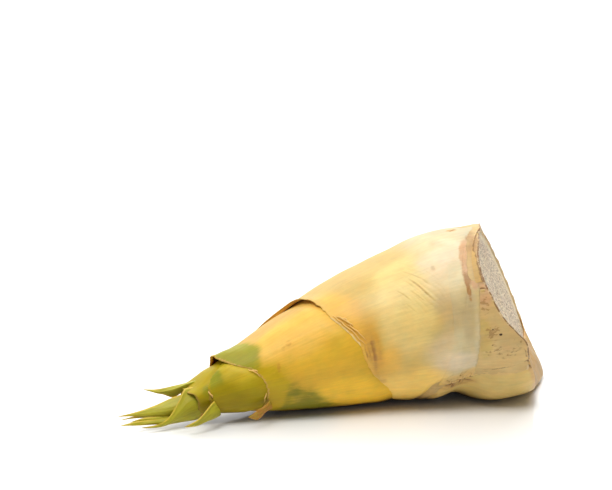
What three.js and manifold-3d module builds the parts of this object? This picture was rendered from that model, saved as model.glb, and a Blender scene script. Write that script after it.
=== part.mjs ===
// Bamboo shoot, dug and trimmed, lying on its side on a flat surface.
//
// Millimetres, +Z up. The shoot points its tip along -X and its cut base along +X, and it touches the
// surface at z = 0. Places along the shoot are given as s, which runs from 14 at the tip to 271 at the base.
// Around the shoot, an angle of 0 degrees is the -Y side, 90 is the top, 180 the +Y side, -90 the underside.
//
// Every leaf is one solid: a sheath that wraps the shoot, together with the blade that grows on its edge.
// The sheaths lie inside one another like sleeves, the outermost rooted nearest to the base.
import * as THREE from "three";
import Module from "manifold-3d";

const wasm = await Module();
wasm.setup();

// ---- Driving dimensions (mm) -------------------------------------------------------------------

const TIP_TO_MIDDLE = 142.5; // from s = 0 to the middle of the shoot's length
const SIDE_TO_MIDDLE = 3.2; // from the line y = 0 of the profile below to the middle of the width

// Profile of the shoot: half its thickness, the height of its underside, and how far it bends sideways.
const PROFILE = [
  { s: 14, half: 3, low: 6, side: 6 },
  { s: 40, half: 7.5, low: 5, side: 6 },
  { s: 75, half: 15.5, low: 4, side: 4 },
  { s: 120, half: 29.2, low: -0.2, side: 6.5 },
  { s: 170, half: 41.4, low: -1, side: 5 },
  { s: 220, half: 49.2, low: -0.6, side: -4.5 },
  { s: 245, half: 50.3, low: -0.6, side: -10 },
  { s: 275, half: 48.5, low: 1, side: -17 },
];

// How much the top rises above that profile, where the sheath ends leave shoulders and hollows.
const CROWN = [
  { s: 36, rise: 0 },
  { s: 48, rise: -3.4 },
  { s: 56, rise: -5 },
  { s: 64, rise: -2.2 },
  { s: 76, rise: 1.2 },
  { s: 113, rise: 1.4 },
  { s: 135, rise: 2.2 },
  { s: 164, rise: 0.6 },
  { s: 195, rise: 1.4 },
  { s: 213, rise: 0.2 },
  { s: 230, rise: -1.4 },
];

const WAIST = { s: 205, depth: 4.6, reach: 8.5 }; // groove under the shoot, before the heel

const CUT_NORMAL = new THREE.Vector3(0.814, -0.432, 0.388).normalize(); // the knife cut at the base
const CUT_DISTANCE = 219.2;
const CUT_SEARCH = { low: 180, high: 300, steps: 40 }; // where a line along the shoot can meet the cut

const GAP = 0.45; // clearance between neighbouring sheaths
const PITCH = { tip: 1.1, base: 1.8, tipAt: 45, baseAt: 150 }; // one sheath and its clearance
const SETTLE = { share: 0.18, least: 9 }; // how far past an edge the next sheath has risen to the profile

const COLUMNS = 40; // faces around the shoot
const COLUMN_STEP = 360 / COLUMNS;
const STATIONS = { first: 24, last: 230, step: 4, growth: 0.04 }; // rows of faces along the sheaths

// Each sheath: where it is rooted, and the line of its free edge as [degrees, s]. A flare bends the edge
// outwards by rise at the angle `at`, over `spread` degrees to each side and `reach` mm back from the edge.
const SHEATHS = [
  {
    name: "sheath_1",
    colour: 0xe2c877,
    root: [[-150, 196], [-90, 187], [-60, 186], [-38, 188], [0, 192], [40, 193.5], [58, 197],
      [68, 202], [82, 211], [98, 217], [125, 217], [150, 210], [180, 203]],
    edge: [[-135, 140], [-110, 165], [-90, 176], [-60, 169], [-37, 162], [-13, 152], [14, 146], [44, 136],
      [70, 128], [98, 120], [112, 114], [125, 103], [145, 94], [165, 96], [190, 108]],
    flare: { at: 105, spread: 45, rise: 3, reach: 9 },
  },
  {
    name: "sheath_2",
    colour: 0xd9b43f,
    root: [[0, 179]],
    edge: [[-120, 86], [-90, 90], [-65, 89], [-45, 92.5], [-15, 94], [10, 92], [31, 87], [55, 78],
      [78, 73], [92, 70], [118, 69.5], [155, 71], [180, 74], [210, 80]],
    flare: { at: 100, spread: 40, rise: 4.5, reach: 8 },
  },
  {
    name: "sheath_3",
    colour: 0xa9a02f,
    root: [[0, 158]],
    edge: [[-130, 76], [-90, 70], [-55, 69], [-35, 67], [-14, 64], [16, 62.5], [33, 63], [60, 66],
      [78, 72], [105, 80], [140, 82], [180, 80]],
    flare: { at: 20, spread: 30, rise: 0.5, reach: 4 },
  },
  {
    name: "sheath_4",
    colour: 0xa3a63a,
    root: [[0, 132]],
    edge: [[-130, 62], [-90, 60], [-40, 57.5], [-12, 57], [12, 56.3], [40, 54], [54, 52.5], [74, 54],
      [100, 55], [140, 54], [180, 57]],
    flare: { at: 70, spread: 30, rise: 0.4, reach: 4 },
  },
  {
    name: "sheath_5",
    colour: 0xb0b548,
    root: [[0, 106]],
    edge: [[-155, 44], [-120, 38], [-90, 31], [-72, 27], [-58, 26], [-40, 33], [-20, 40], [10, 43.5],
      [46, 49.5], [60, 54], [90, 57], [130, 56], [180, 50]],
    flare: { at: -50, spread: 70, rise: 5, reach: 12 },
  },
];

// Blades that stand off the sheath's edge. Each grows out of the edge between two angles, and is
// stretched between two margins, given as [s, y, z] from the edge to the tip, and bowed by `bow` mm.
const BLADES = {
  sheath_2: {
    angles: [-26, -44],
    one: [[89, -16.4, 10.6], [81.5, -17.4, 7.4]],
    two: [[88.5, -15.4, 5.2], [81.5, -17.4, 7.4]],
    bow: 0.5,
  },
  sheath_3: {
    angles: [-8, -46],
    one: [[58, -12, 11.6], [53, -13.2, 8.4], [47.5, -13.6, 5.2]],
    two: [[61, -10.8, 5.2], [53, -12.6, 4.4], [47.5, -13.6, 5.2]],
    bow: 1.2,
  },
  sheath_4: {
    angles: [118, 76],
    one: [[49, 12, 21.4], [40, 13.6, 18.6], [31, 14.2, 19.4]],
    two: [[47, 7, 18.4], [40, 10.6, 16.8], [31, 14.2, 19.4]],
    bow: 1,
  },
};
const BLADE = { thickness: 0.5, foot: 2.5 }; // the foot is buried in the sheath

// Rolled leaves of the bud, as [s, y, z, half height] from the root end to the tip.
const BUD_LEAVES = [
  {
    name: "bud_leaf_1",
    colour: 0xa9b347,
    path: [[79, 5, 20, 3.5], [66, 5.4, 17.5, 4.4], [52, 5.4, 13.4, 3.9], [43.5, 5, 11.5, 3.1],
      [33, 4.8, 9.4, 2.1], [23.5, 5, 8.9, 0.9], [14, 5, 9.2, 0]],
  },
  {
    name: "bud_leaf_2",
    colour: 0xa4a542,
    path: [[70, 8, 11, 1.8], [58, 7.6, 9, 1.9], [46, 6.8, 7, 1.2], [36, 6, 6, 0.9], [25, 5, 6.5, 0.7],
      [14.8, 4, 6.9, 0]],
  },
  {
    name: "bud_leaf_3",
    colour: 0xaaa53c,
    path: [[66, 2.5, 12, 1.2], [56, 2.2, 9.6, 1.4], [46, 1.8, 8, 1.3], [38, 2.2, 7.4, 1], [30, 1.6, 7.2, 0.8],
      [19.7, 1, 6.2, 0]],
  },
  {
    name: "bud_leaf_4",
    colour: 0x9fa53d,
    path: [[56, 4.6, 8.4, 0.7], [48, 4.4, 7, 0.8], [38, 4, 5.9, 0.8], [33, 1.9, 5, 0.8],
      [28, -0.2, 4.6, 1], [20, -1, 5.3, 0.8], [14.2, -1, 5.6, 0]],
  },
];
const BUD = { sides: 10, rootLength: 1 };

const SHOULDER = { foot: 0.4, top: 1 }; // where the culm steps up, beyond the root of each sheath
const BASE_ROWS = [0, 0.07, 0.14, 0.22, 0.32, 0.45, 0.7, 1]; // from that shoulder to the cut

// The heel: the fleshy stump of the lowest sheath, left under the base by the knife.
const HEEL = {
  first: -162, // degrees
  last: -36,
  depth: 9,
  edgeDepth: 1.6,
  firstRow: 0.03, // where it starts, as a part of the base's length
  beyondCut: [[-162, 0], [-126, 1.6], [-108, 2.8], [-90, 1.2], [-72, 0.4], [-54, 1.8], [-36, 4.6]], // by angle
  deepestDrop: 0.5, // how far down its thickness the rounded end may reach
  colour: 0xd9cd8a,
};
const HEEL_ROUND = [
  { back: 12, drop: 0 },
  { back: 6, drop: 0.6 },
  { back: 2, drop: 2.4 },
  { back: 0, drop: 5 },
];

// The dry margin of a torn sheath that still covers part of the base.
const MARGIN = {
  first: -27,
  last: 90,
  lift: 0.4,
  thickness: 0.8,
  clearOfSheath: 1.2,
  clearOfCut: 0.5,
  rows: 3,
  colour: 0xd6bd8c,
  end: [[-27, 214], [0, 210], [27, 205], [45, 208], [63, 213], [90, 221]],
};

const ROUGHNESS = { skin: 0.5, sheath: 0.55, dry: 0.6, flesh: 0.65 };

// The culm ends in a dome inside the bud, and is solid.
const CULM = { tip: 88, tipRadius: 6, dome: 3, shoulder: 9, faceAt: 245, colour: 0xe9e0c4 };

// ---- Smooth laws along and around the shoot ----------------------------------------------------

/** A smooth function of s through rows of { s, ... }, giving the values of the named keys. */
function along(rows, keys) {
  const places = rows.map((row) => row.s);
  const values = rows.flatMap((row) => keys.map((key) => row[key]));
  const curve = new THREE.CubicInterpolant(places, values, keys.length);
  const first = places[0];
  const last = places[places.length - 1];
  return (s) => curve.evaluate(THREE.MathUtils.clamp(s, first, last));
}

/** Angle brought into the range from -180 to 180 degrees. */
function wrapped(angle) {
  return THREE.MathUtils.euclideanModulo(angle + 180, 360) - 180;
}

/** A smooth periodic function of the angle through [degrees, value] pairs. */
function around(pairs) {
  if (pairs.length === 1) {
    return () => pairs[0][1];
  }
  const turns = [-360, 0, 360].flatMap((turn) => pairs.map(([angle, value]) => [angle + turn, value]));
  const curve = new THREE.CubicInterpolant(
    turns.map(([angle]) => angle),
    turns.map(([, value]) => value),
    1,
  );
  return (angle) => curve.evaluate(angle)[0];
}

SHEATHS.forEach((sheath) => {
  sheath.edgeAt = around(sheath.edge);
  sheath.rootAt = around(sheath.root);
});

const outerRoot = (angle) => SHEATHS[0].rootAt(wrapped(angle));
const profileAt = along(PROFILE, ["half", "low", "side"]);
const crownAt = along(CROWN, ["rise"]);
const heelBeyond = around(HEEL.beyondCut);

/** How many sheath edges lie between the base and s at an angle, each counted in smoothly. */
function edgesPassed(s, angle) {
  return SHEATHS.reduce((count, sheath) => {
    const edge = sheath.edgeAt(angle);
    const settle = Math.max(SETTLE.least, SETTLE.share * edge);
    return count + THREE.MathUtils.smoothstep(edge - s, 0, settle);
  }, 0);
}

/** Thickness of one sheath with its clearance at s. */
function pitchAt(s) {
  const part = THREE.MathUtils.clamp((s - PITCH.tipAt) / (PITCH.baseAt - PITCH.tipAt), 0, 1);
  return THREE.MathUtils.lerp(PITCH.tip, PITCH.base, part);
}

/** Offset of the outside of sheath number `layer` from the profile at s and an angle. */
function layerOffset(layer, s, angle) {
  return pitchAt(s) * (edgesPassed(s, angle) - (layer - 1));
}

/** The point at s and an angle, `offset` mm outside the profile, kept above the surface it lies on. */
function bodyPoint(s, angle, offset) {
  const [half, low, side] = profileAt(s);
  const turn = THREE.MathUtils.degToRad(angle);
  const below = Math.max(0, -Math.sin(turn));
  const groove = WAIST.depth * below * Math.exp(-(((s - WAIST.s) / WAIST.reach) ** 2));
  const radius = half + offset - groove;
  const crown = crownAt(s)[0] * Math.max(0, Math.sin(turn)) ** 2;
  const height = Math.max(low + half + radius * Math.sin(turn) + crown, 0, -offset);
  return new THREE.Vector3(s, side - radius * Math.cos(turn), height);
}

/** The s at which the line of an angle and offset meets the cut, moved `beyond` mm along the shoot. */
function cutStation(angle, offset, beyond = 0) {
  let { low, high } = CUT_SEARCH;
  for (let step = 0; step < CUT_SEARCH.steps; step += 1) {
    const middle = (low + high) / 2;
    const inside = bodyPoint(middle, angle, offset).dot(CUT_NORMAL) < CUT_DISTANCE;
    low = inside ? middle : low;
    high = inside ? high : middle;
  }
  return (low + high) / 2 + beyond;
}

// ---- Closed skins ------------------------------------------------------------------------------

/** A closed surface of triangles whose equal corners are shared. */
class Skin {
  constructor() {
    this.corners = [];
    this.faces = [];
    this.known = new Map();
  }

  corner(point) {
    const key = point.toArray().map((value) => value.toFixed(3)).join();
    if (!this.known.has(key)) {
      this.known.set(key, this.corners.length);
      this.corners.push(point);
    }
    return this.known.get(key);
  }

  triangle(a, b, c) {
    const face = [this.corner(a), this.corner(b), this.corner(c)];
    if (new Set(face).size === 3) {
      this.faces.push(face);
    }
  }

  quad(a, b, c, d) {
    this.triangle(a, b, c);
    this.triangle(a, c, d);
  }

  volume() {
    return this.faces.reduce((sum, [a, b, c]) => {
      const normal = this.corners[b].clone().cross(this.corners[c]);
      return sum + this.corners[a].dot(normal) / 6;
    }, 0);
  }

  /** The skin as a solid with its faces pointing out. */
  solid() {
    const turned = this.volume() < 0;
    const triVerts = new Uint32Array(this.faces.flatMap(([a, b, c]) => (turned ? [a, c, b] : [a, b, c])));
    const vertProperties = new Float32Array(this.corners.flatMap((point) => point.toArray()));
    return new wasm.Manifold(new wasm.Mesh({ numProp: 3, vertProperties, triVerts }));
  }
}

/** Rings of points joined in turn; a ring of equal points is a pole, and `closed` joins last to first. */
function tubeSkin(rings, closed) {
  const skin = new Skin();
  const count = closed ? rings.length : rings.length - 1;
  for (let row = 0; row < count; row += 1) {
    const near = rings[row];
    const far = rings[(row + 1) % rings.length];
    near.forEach((point, column) => {
      const next = (column + 1) % near.length;
      skin.quad(point, near[next], far[next], far[column]);
    });
  }
  return skin;
}

/** A slab between two grids of points, outside and inside, with walls round its four sides. */
function slabSkin(outside, inside) {
  const rings = outside.map((row, index) => [...row, ...[...inside[index]].reverse()]);
  const skin = tubeSkin(rings, false);
  const lastRow = outside.length - 1;
  for (const row of [0, lastRow]) {
    for (let column = 0; column + 1 < outside[row].length; column += 1) {
      const wall = [
        outside[row][column],
        outside[row][column + 1],
        inside[row][column + 1],
        inside[row][column],
      ];
      skin.quad(...(row === 0 ? wall.reverse() : wall));
    }
  }
  return skin;
}

/** A named mesh of a solid. */
function meshOf(name, solid, colour, roughness) {
  const made = solid.getMesh();
  const geometry = new THREE.BufferGeometry();
  geometry.setAttribute("position", new THREE.BufferAttribute(new Float32Array(made.vertProperties), 3));
  geometry.setIndex(new THREE.BufferAttribute(new Uint32Array(made.triVerts), 1));
  geometry.computeVertexNormals();
  const material = new THREE.MeshStandardMaterial({ color: colour, roughness, metalness: 0 });
  const mesh = new THREE.Mesh(geometry, material);
  mesh.name = name;
  return mesh;
}

/** Angles of the columns around the shoot, from `first` to `last`, one of them straight down. */
function columns(first = -90, last = 270 - COLUMN_STEP) {
  const count = Math.round((last - first) / COLUMN_STEP) + 1;
  return Array.from({ length: count }, (_, index) => first + index * COLUMN_STEP);
}

/** The rows of faces along the sheaths between two places, closer together towards the tip. */
function stations(from = 0, to = Infinity) {
  const rows = [];
  for (let s = STATIONS.first; s < STATIONS.last; s += STATIONS.step + STATIONS.growth * s) {
    rows.push(s);
  }
  return rows.filter((s) => s > from && s < to);
}

/** Evenly spaced parts from 0 to 1. */
function parts(count) {
  return Array.from({ length: count + 1 }, (_, index) => index / count);
}

// ---- The leaves --------------------------------------------------------------------------------

/** The point of a leaf's sleeve at an angle and s, `inward` of its thickness below the outside. */
function sleevePoint(sheath, layer, angle, s, inward) {
  const { at, spread, rise, reach } = sheath.flare;
  const away = Math.min(1, Math.abs(wrapped(angle - at)) / spread);
  const back = (s - sheath.edgeAt(angle)) / reach;
  const lift = rise * 0.5 * (1 + Math.cos(Math.PI * away)) * Math.exp(-(back ** 2));
  return bodyPoint(s, angle, layerOffset(layer, s, angle) + lift - inward * (pitchAt(s) - GAP));
}

/** The wrapping sleeve of a leaf, from its free edge to its root. */
function sleeveSkin(sheath, layer) {
  const ring = (station, inward) => columns().map((angle) => {
    const s = THREE.MathUtils.clamp(station, sheath.edgeAt(angle), sheath.rootAt(angle));
    return sleevePoint(sheath, layer, angle, s, inward);
  });
  const rows = [-Infinity, ...stations(), Infinity];
  const outside = rows.map((station) => ring(station, 0));
  const inside = rows.map((station) => ring(station, 1)).reverse();
  return tubeSkin([...outside, ...inside], true);
}

/** The free blade of a leaf, a thin bowed slab that narrows to a point, with its foot in the sleeve. */
function bladeSkin(sheath, layer, { angles, one, two, bow }) {
  const shares = parts(4);
  const foot = (deep) => shares.map((share) => {
    const angle = THREE.MathUtils.lerp(angles[0], angles[1], share);
    return sleevePoint(sheath, layer, angle, sheath.edgeAt(angle) + deep, 0.5);
  });
  const brim = foot(0.3);
  const margin = (start, rest) => new THREE.CatmullRomCurve3(
    [start, ...rest.map((point) => new THREE.Vector3(...point))],
  );
  const upper = margin(brim[0], one);
  const lower = margin(brim[shares.length - 1], two);
  const free = parts(6).slice(1).map((part) => shares.map((share) => {
    const a = upper.getPoint(part);
    const b = lower.getPoint(part);
    const bulge = upper.getTangent(part).cross(b.clone().sub(a)).normalize();
    return a.lerp(b, share).addScaledVector(bulge, bow * 4 * share * (1 - share) * (1 - part));
  }));
  const rows = [foot(BLADE.foot), brim, ...free];
  const normalAt = (row, column) => {
    const before = rows[Math.max(row - 1, 0)][column];
    const after = rows[Math.min(row + 1, rows.length - 1)][column];
    const left = rows[Math.min(row, rows.length - 2)][Math.max(column - 1, 0)];
    const right = rows[Math.min(row, rows.length - 2)][Math.min(column + 1, shares.length - 1)];
    return after.clone().sub(before).cross(right.clone().sub(left)).normalize();
  };
  const grid = (side) => rows.map((row, index) => row.map((point, column) => {
    const half = index === rows.length - 1 ? 0 : BLADE.thickness / 2;
    return point.clone().addScaledVector(normalAt(index, column), side * half);
  }));
  return slabSkin(grid(1), grid(-1));
}

/** A leaf as one solid: its sleeve with its blade grown on. */
function leaf(sheath, layer) {
  const sleeve = sleeveSkin(sheath, layer).solid();
  const blade = BLADES[sheath.name];
  const solid = blade ? sleeve.add(bladeSkin(sheath, layer, blade).solid()) : sleeve;
  return meshOf(sheath.name, solid, sheath.colour, ROUGHNESS.sheath);
}

/** A rolled leaf of the bud: a slim spindle along its path. */
function budLeaf({ name, colour, path }) {
  const route = new THREE.CatmullRomCurve3(path.map(([s, y, z]) => new THREE.Vector3(s, y, z)));
  const rings = path.map(([, , , half], index) => {
    const part = index / (path.length - 1);
    const centre = route.getPoint(part);
    const forward = route.getTangent(part);
    const sideways = new THREE.Vector3(0, 1, 0).cross(forward).cross(forward).normalize();
    const upward = forward.clone().cross(sideways);
    return parts(BUD.sides).slice(0, -1).map((turn) => centre.clone()
      .addScaledVector(sideways, half * Math.cos(turn * 2 * Math.PI))
      .addScaledVector(upward, half * Math.sin(turn * 2 * Math.PI)));
  });
  const [s, y, z] = path[0];
  const root = rings[0].map(() => new THREE.Vector3(s + BUD.rootLength, y, z));
  return meshOf(name, tubeSkin([root, ...rings], false).solid(), colour, ROUGHNESS.skin);
}

// ---- The base ----------------------------------------------------------------------------------

/** How deep the heel bites into the culm at an angle; zero where there is no heel. */
function heelDepth(angle) {
  if (angle < HEEL.first || angle > HEEL.last) {
    return 0;
  }
  const part = (angle - HEEL.first) / (HEEL.last - HEEL.first);
  return HEEL.edgeDepth + (HEEL.depth - HEEL.edgeDepth) * Math.sin(Math.PI * part);
}

/** The solid stalk: stepped down under each sheath, full size at the base, and cut off flat. */
function culm() {
  const ring = (placeAt) => columns().map((angle) => bodyPoint(...placeAt(angle)));
  const pole = (s, y, z) => columns().map(() => new THREE.Vector3(s, y, z));
  const under = (count, s, angle) => layerOffset(1, s, angle) - count * pitchAt(s);
  const roots = SHEATHS.map((sheath) => sheath.root[0][1]);
  const tip = CULM.tip;
  const [tipHalf, tipLow, tipSide] = profileAt(tip);
  const rings = [
    pole(tip - CULM.dome, tipSide, tipLow + tipHalf),
    ring((angle) => [tip, angle, CULM.tipRadius - tipHalf]),
  ];
  for (let count = SHEATHS.length; count >= 2; count -= 1) {
    const start = count === SHEATHS.length ? tip + CULM.shoulder : roots[count] + SHOULDER.top;
    const end = roots[count - 1] + SHOULDER.foot;
    for (const s of [start, ...stations(start + 1, end - 1), end]) {
      rings.push(ring((angle) => [s, angle, under(count, s, angle)]));
    }
  }
  const lastStart = roots[1] + SHOULDER.top;
  for (const station of [lastStart, ...stations(lastStart + 1), Infinity]) {
    rings.push(ring((angle) => {
      const s = Math.min(station, outerRoot(angle) + SHOULDER.foot);
      return [s, angle, under(1, s, angle)];
    }));
  }
  for (const part of BASE_ROWS) {
    rings.push(ring((angle) => {
      const depth = heelDepth(wrapped(angle));
      const offset = depth > 0 ? -depth - GAP : 0;
      const start = outerRoot(angle) + SHOULDER.top;
      return [THREE.MathUtils.lerp(start, cutStation(angle, offset), part), angle, offset];
    }));
  }
  const middle = cutStation(0, -profileAt(CULM.faceAt)[0]);
  const [half, low, side] = profileAt(middle);
  rings.push(pole(middle, side, low + half));
  return meshOf("culm", tubeSkin(rings, false).solid(), CULM.colour, ROUGHNESS.flesh);
}

/** The heel under the base. */
function heel() {
  const angles = columns(HEEL.first, HEEL.last);
  const place = (angle, part, inward) => {
    const depth = inward * heelDepth(angle);
    const s = THREE.MathUtils.lerp(outerRoot(angle) + SHOULDER.top, cutStation(angle, -depth), part);
    return bodyPoint(s, angle, -depth);
  };
  const roundedEnd = HEEL_ROUND.map(({ back, drop }) => (angle, inward) => {
    const full = heelDepth(angle);
    const depth = Math.max(inward * full, Math.min(drop, full * HEEL.deepestDrop));
    return bodyPoint(cutStation(angle, -depth, heelBeyond(angle) - back), angle, -depth);
  });
  const plainRows = [HEEL.firstRow, ...BASE_ROWS.slice(1, -1)];
  const grid = (inward) => [
    ...plainRows.map((part) => angles.map((angle) => place(angle, part, inward))),
    ...roundedEnd.map((at) => angles.map((angle) => at(angle, inward))),
  ];
  return meshOf("heel", slabSkin(grid(0), grid(1)).solid(), HEEL.colour, ROUGHNESS.skin);
}

/** The torn margin over the near side and the top of the base. */
function tornMargin() {
  const end = around(MARGIN.end);
  const angles = columns(MARGIN.first, MARGIN.last);
  const grid = (offset) => parts(MARGIN.rows).map((part) => angles.map((angle) => {
    const start = outerRoot(angle) + MARGIN.clearOfSheath;
    const finish = Math.min(end(angle), cutStation(angle, offset) - MARGIN.clearOfCut);
    return bodyPoint(THREE.MathUtils.lerp(start, finish, part), angle, offset);
  }));
  const solid = slabSkin(grid(MARGIN.lift + MARGIN.thickness), grid(MARGIN.lift)).solid();
  return meshOf("torn_margin", solid, MARGIN.colour, ROUGHNESS.dry);
}

// ---- The shoot ---------------------------------------------------------------------------------

const shoot = new THREE.Group();
shoot.name = "bamboo_shoot";
shoot.position.set(-TIP_TO_MIDDLE, SIDE_TO_MIDDLE, 0);
shoot.add(culm(), heel(), tornMargin());
SHEATHS.forEach((sheath, index) => shoot.add(leaf(sheath, index + 1)));
BUD_LEAVES.forEach((leafOfBud) => shoot.add(budLeaf(leafOfBud)));

export default shoot;
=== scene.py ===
"""A trimmed bamboo shoot lying on a pale floor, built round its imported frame.

Sizes are in millimetres until a mesh is made. A place on the shoot is given as s, the distance along it
from just beyond the tip, an angle round it (0 is the -Y side, 90 the top, 180 the +Y side and -90 the
underside), and an offset outwards from its profile.
"""

import logging  # noqa: E402
import math  # noqa: E402
from collections.abc import Callable, Mapping, Sequence  # noqa: E402
from dataclasses import dataclass, field  # noqa: E402
from enum import Enum  # noqa: E402
from typing import Any  # noqa: E402

import bpy  # noqa: E402
import mathutils  # noqa: E402
import numpy as np  # noqa: E402
from numpy.typing import NDArray  # noqa: E402
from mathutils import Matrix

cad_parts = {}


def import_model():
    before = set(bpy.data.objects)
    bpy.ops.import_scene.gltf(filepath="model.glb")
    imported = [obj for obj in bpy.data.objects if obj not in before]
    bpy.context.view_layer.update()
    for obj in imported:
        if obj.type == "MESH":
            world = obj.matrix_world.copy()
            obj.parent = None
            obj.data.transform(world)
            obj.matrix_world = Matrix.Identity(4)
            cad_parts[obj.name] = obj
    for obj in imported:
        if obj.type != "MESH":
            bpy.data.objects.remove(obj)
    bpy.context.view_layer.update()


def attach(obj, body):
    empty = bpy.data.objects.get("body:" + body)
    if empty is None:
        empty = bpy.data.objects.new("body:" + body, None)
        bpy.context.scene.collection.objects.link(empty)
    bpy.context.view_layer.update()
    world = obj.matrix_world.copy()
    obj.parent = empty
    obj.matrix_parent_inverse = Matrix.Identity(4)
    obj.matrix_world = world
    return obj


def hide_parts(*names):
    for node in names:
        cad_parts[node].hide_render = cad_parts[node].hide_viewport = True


Values = NDArray[np.float64]
Masks = dict[str, Values]

LOG = logging.getLogger("bamboo_shoot")
METRES = 0.001
TIP_TO_MIDDLE = 142.5
SIDE_TO_MIDDLE = 3.2
BODY = "root"


class Slot(Enum):
    """The record's material slots."""

    OUTER_SHEATH = "outer_sheath"
    RIPE_SHEATH = "ripe_sheath"
    GREEN_SHEATH = "green_sheath"
    BUD_LEAF = "bud_leaf"
    CUT_FLESH = "cut_flesh"
    HEEL_FLESH = "heel_flesh"
    DRY_MARGIN = "dry_margin"


# ---- Smooth functions --------------------------------------------------------------------------


def smoothstep(value: Values | float, low: float, high: float) -> Values:
    """Rises smoothly from 0 at low to 1 at high.

    Args:
        value: Where to take it.
        low: The value that gives 0.
        high: The value that gives 1, which may be below low.

    Returns:
        The risen part at each value.
    """
    part = np.clip((np.asarray(value, float) - low) / (high - low), 0.0, 1.0)
    return part * part * (3.0 - 2.0 * part)


def turned(angle: Values | float) -> Values:
    """The angle brought into the range from -180 to 180 degrees."""
    return (np.asarray(angle, float) + 180.0) % 360.0 - 180.0


class Curve:
    """A smooth function through points, whose slope at each is the mean of its two sides'."""

    def __init__(self, pairs: Sequence[tuple[float, float]], around: bool = False) -> None:
        """Keeps the points and their slopes.

        Args:
            pairs: (place, value), with the places rising.
            around: Whether the place is an angle in degrees, so that the function repeats after 360.
        """
        places = np.array([place for place, _ in pairs], float)
        values = np.array([value for _, value in pairs], float)
        if around:
            places = np.concatenate([places - 360.0, places, places + 360.0])
            values = np.tile(values, 3)
        self.places = places
        self.values = values
        steps = np.diff(values) / np.diff(places)
        self.slopes = np.concatenate([steps[:1], (steps[1:] + steps[:-1]) / 2.0, steps[-1:]])
        self.around = around

    def __call__(self, place: Values | float) -> Values:
        """The function's value at each place."""
        at = np.asarray(place, float)
        at = turned(at) if self.around else np.clip(at, self.places[0], self.places[-1])
        right = np.clip(np.searchsorted(self.places, at), 1, len(self.places) - 1)
        left = right - 1
        span = self.places[right] - self.places[left]
        part = (at - self.places[left]) / span
        rest = 1.0 - part
        return (
            self.values[left] * (1.0 + 2.0 * part) * rest**2
            + self.values[right] * (1.0 + 2.0 * rest) * part**2
            + self.slopes[left] * span * part * rest**2
            - self.slopes[right] * span * rest * part**2
        )


class Noise:
    """Smooth random heights from -1 to 1 that are the same in each run."""

    SIDE = 256

    def __init__(self, seed: int) -> None:
        """Draws the table of heights for one seed."""
        self.table = np.random.default_rng(seed).uniform(-1.0, 1.0, (self.SIDE, self.SIDE))

    def __call__(self, x: Values, y: Values, period: int = SIDE) -> Values:
        """Heights at places given in cells.

        Args:
            x: Place along the first axis, which repeats after period cells.
            y: Place along the second axis.
            period: How many cells the first axis has.

        Returns:
            A height from -1 to 1 for each place.
        """
        column, row = np.floor(x).astype(int), np.floor(y).astype(int)
        across, up = smoothstep(x - column, 0.0, 1.0), smoothstep(y - row, 0.0, 1.0)
        low, high = column % period, (column + 1) % period
        below, above = row % self.SIDE, (row + 1) % self.SIDE
        bottom = self.table[low, below] * (1 - across) + self.table[high, below] * across
        top = self.table[low, above] * (1 - across) + self.table[high, above] * across
        return bottom * (1 - up) + top * up


# ---- The shoot's body --------------------------------------------------------------------------


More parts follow.
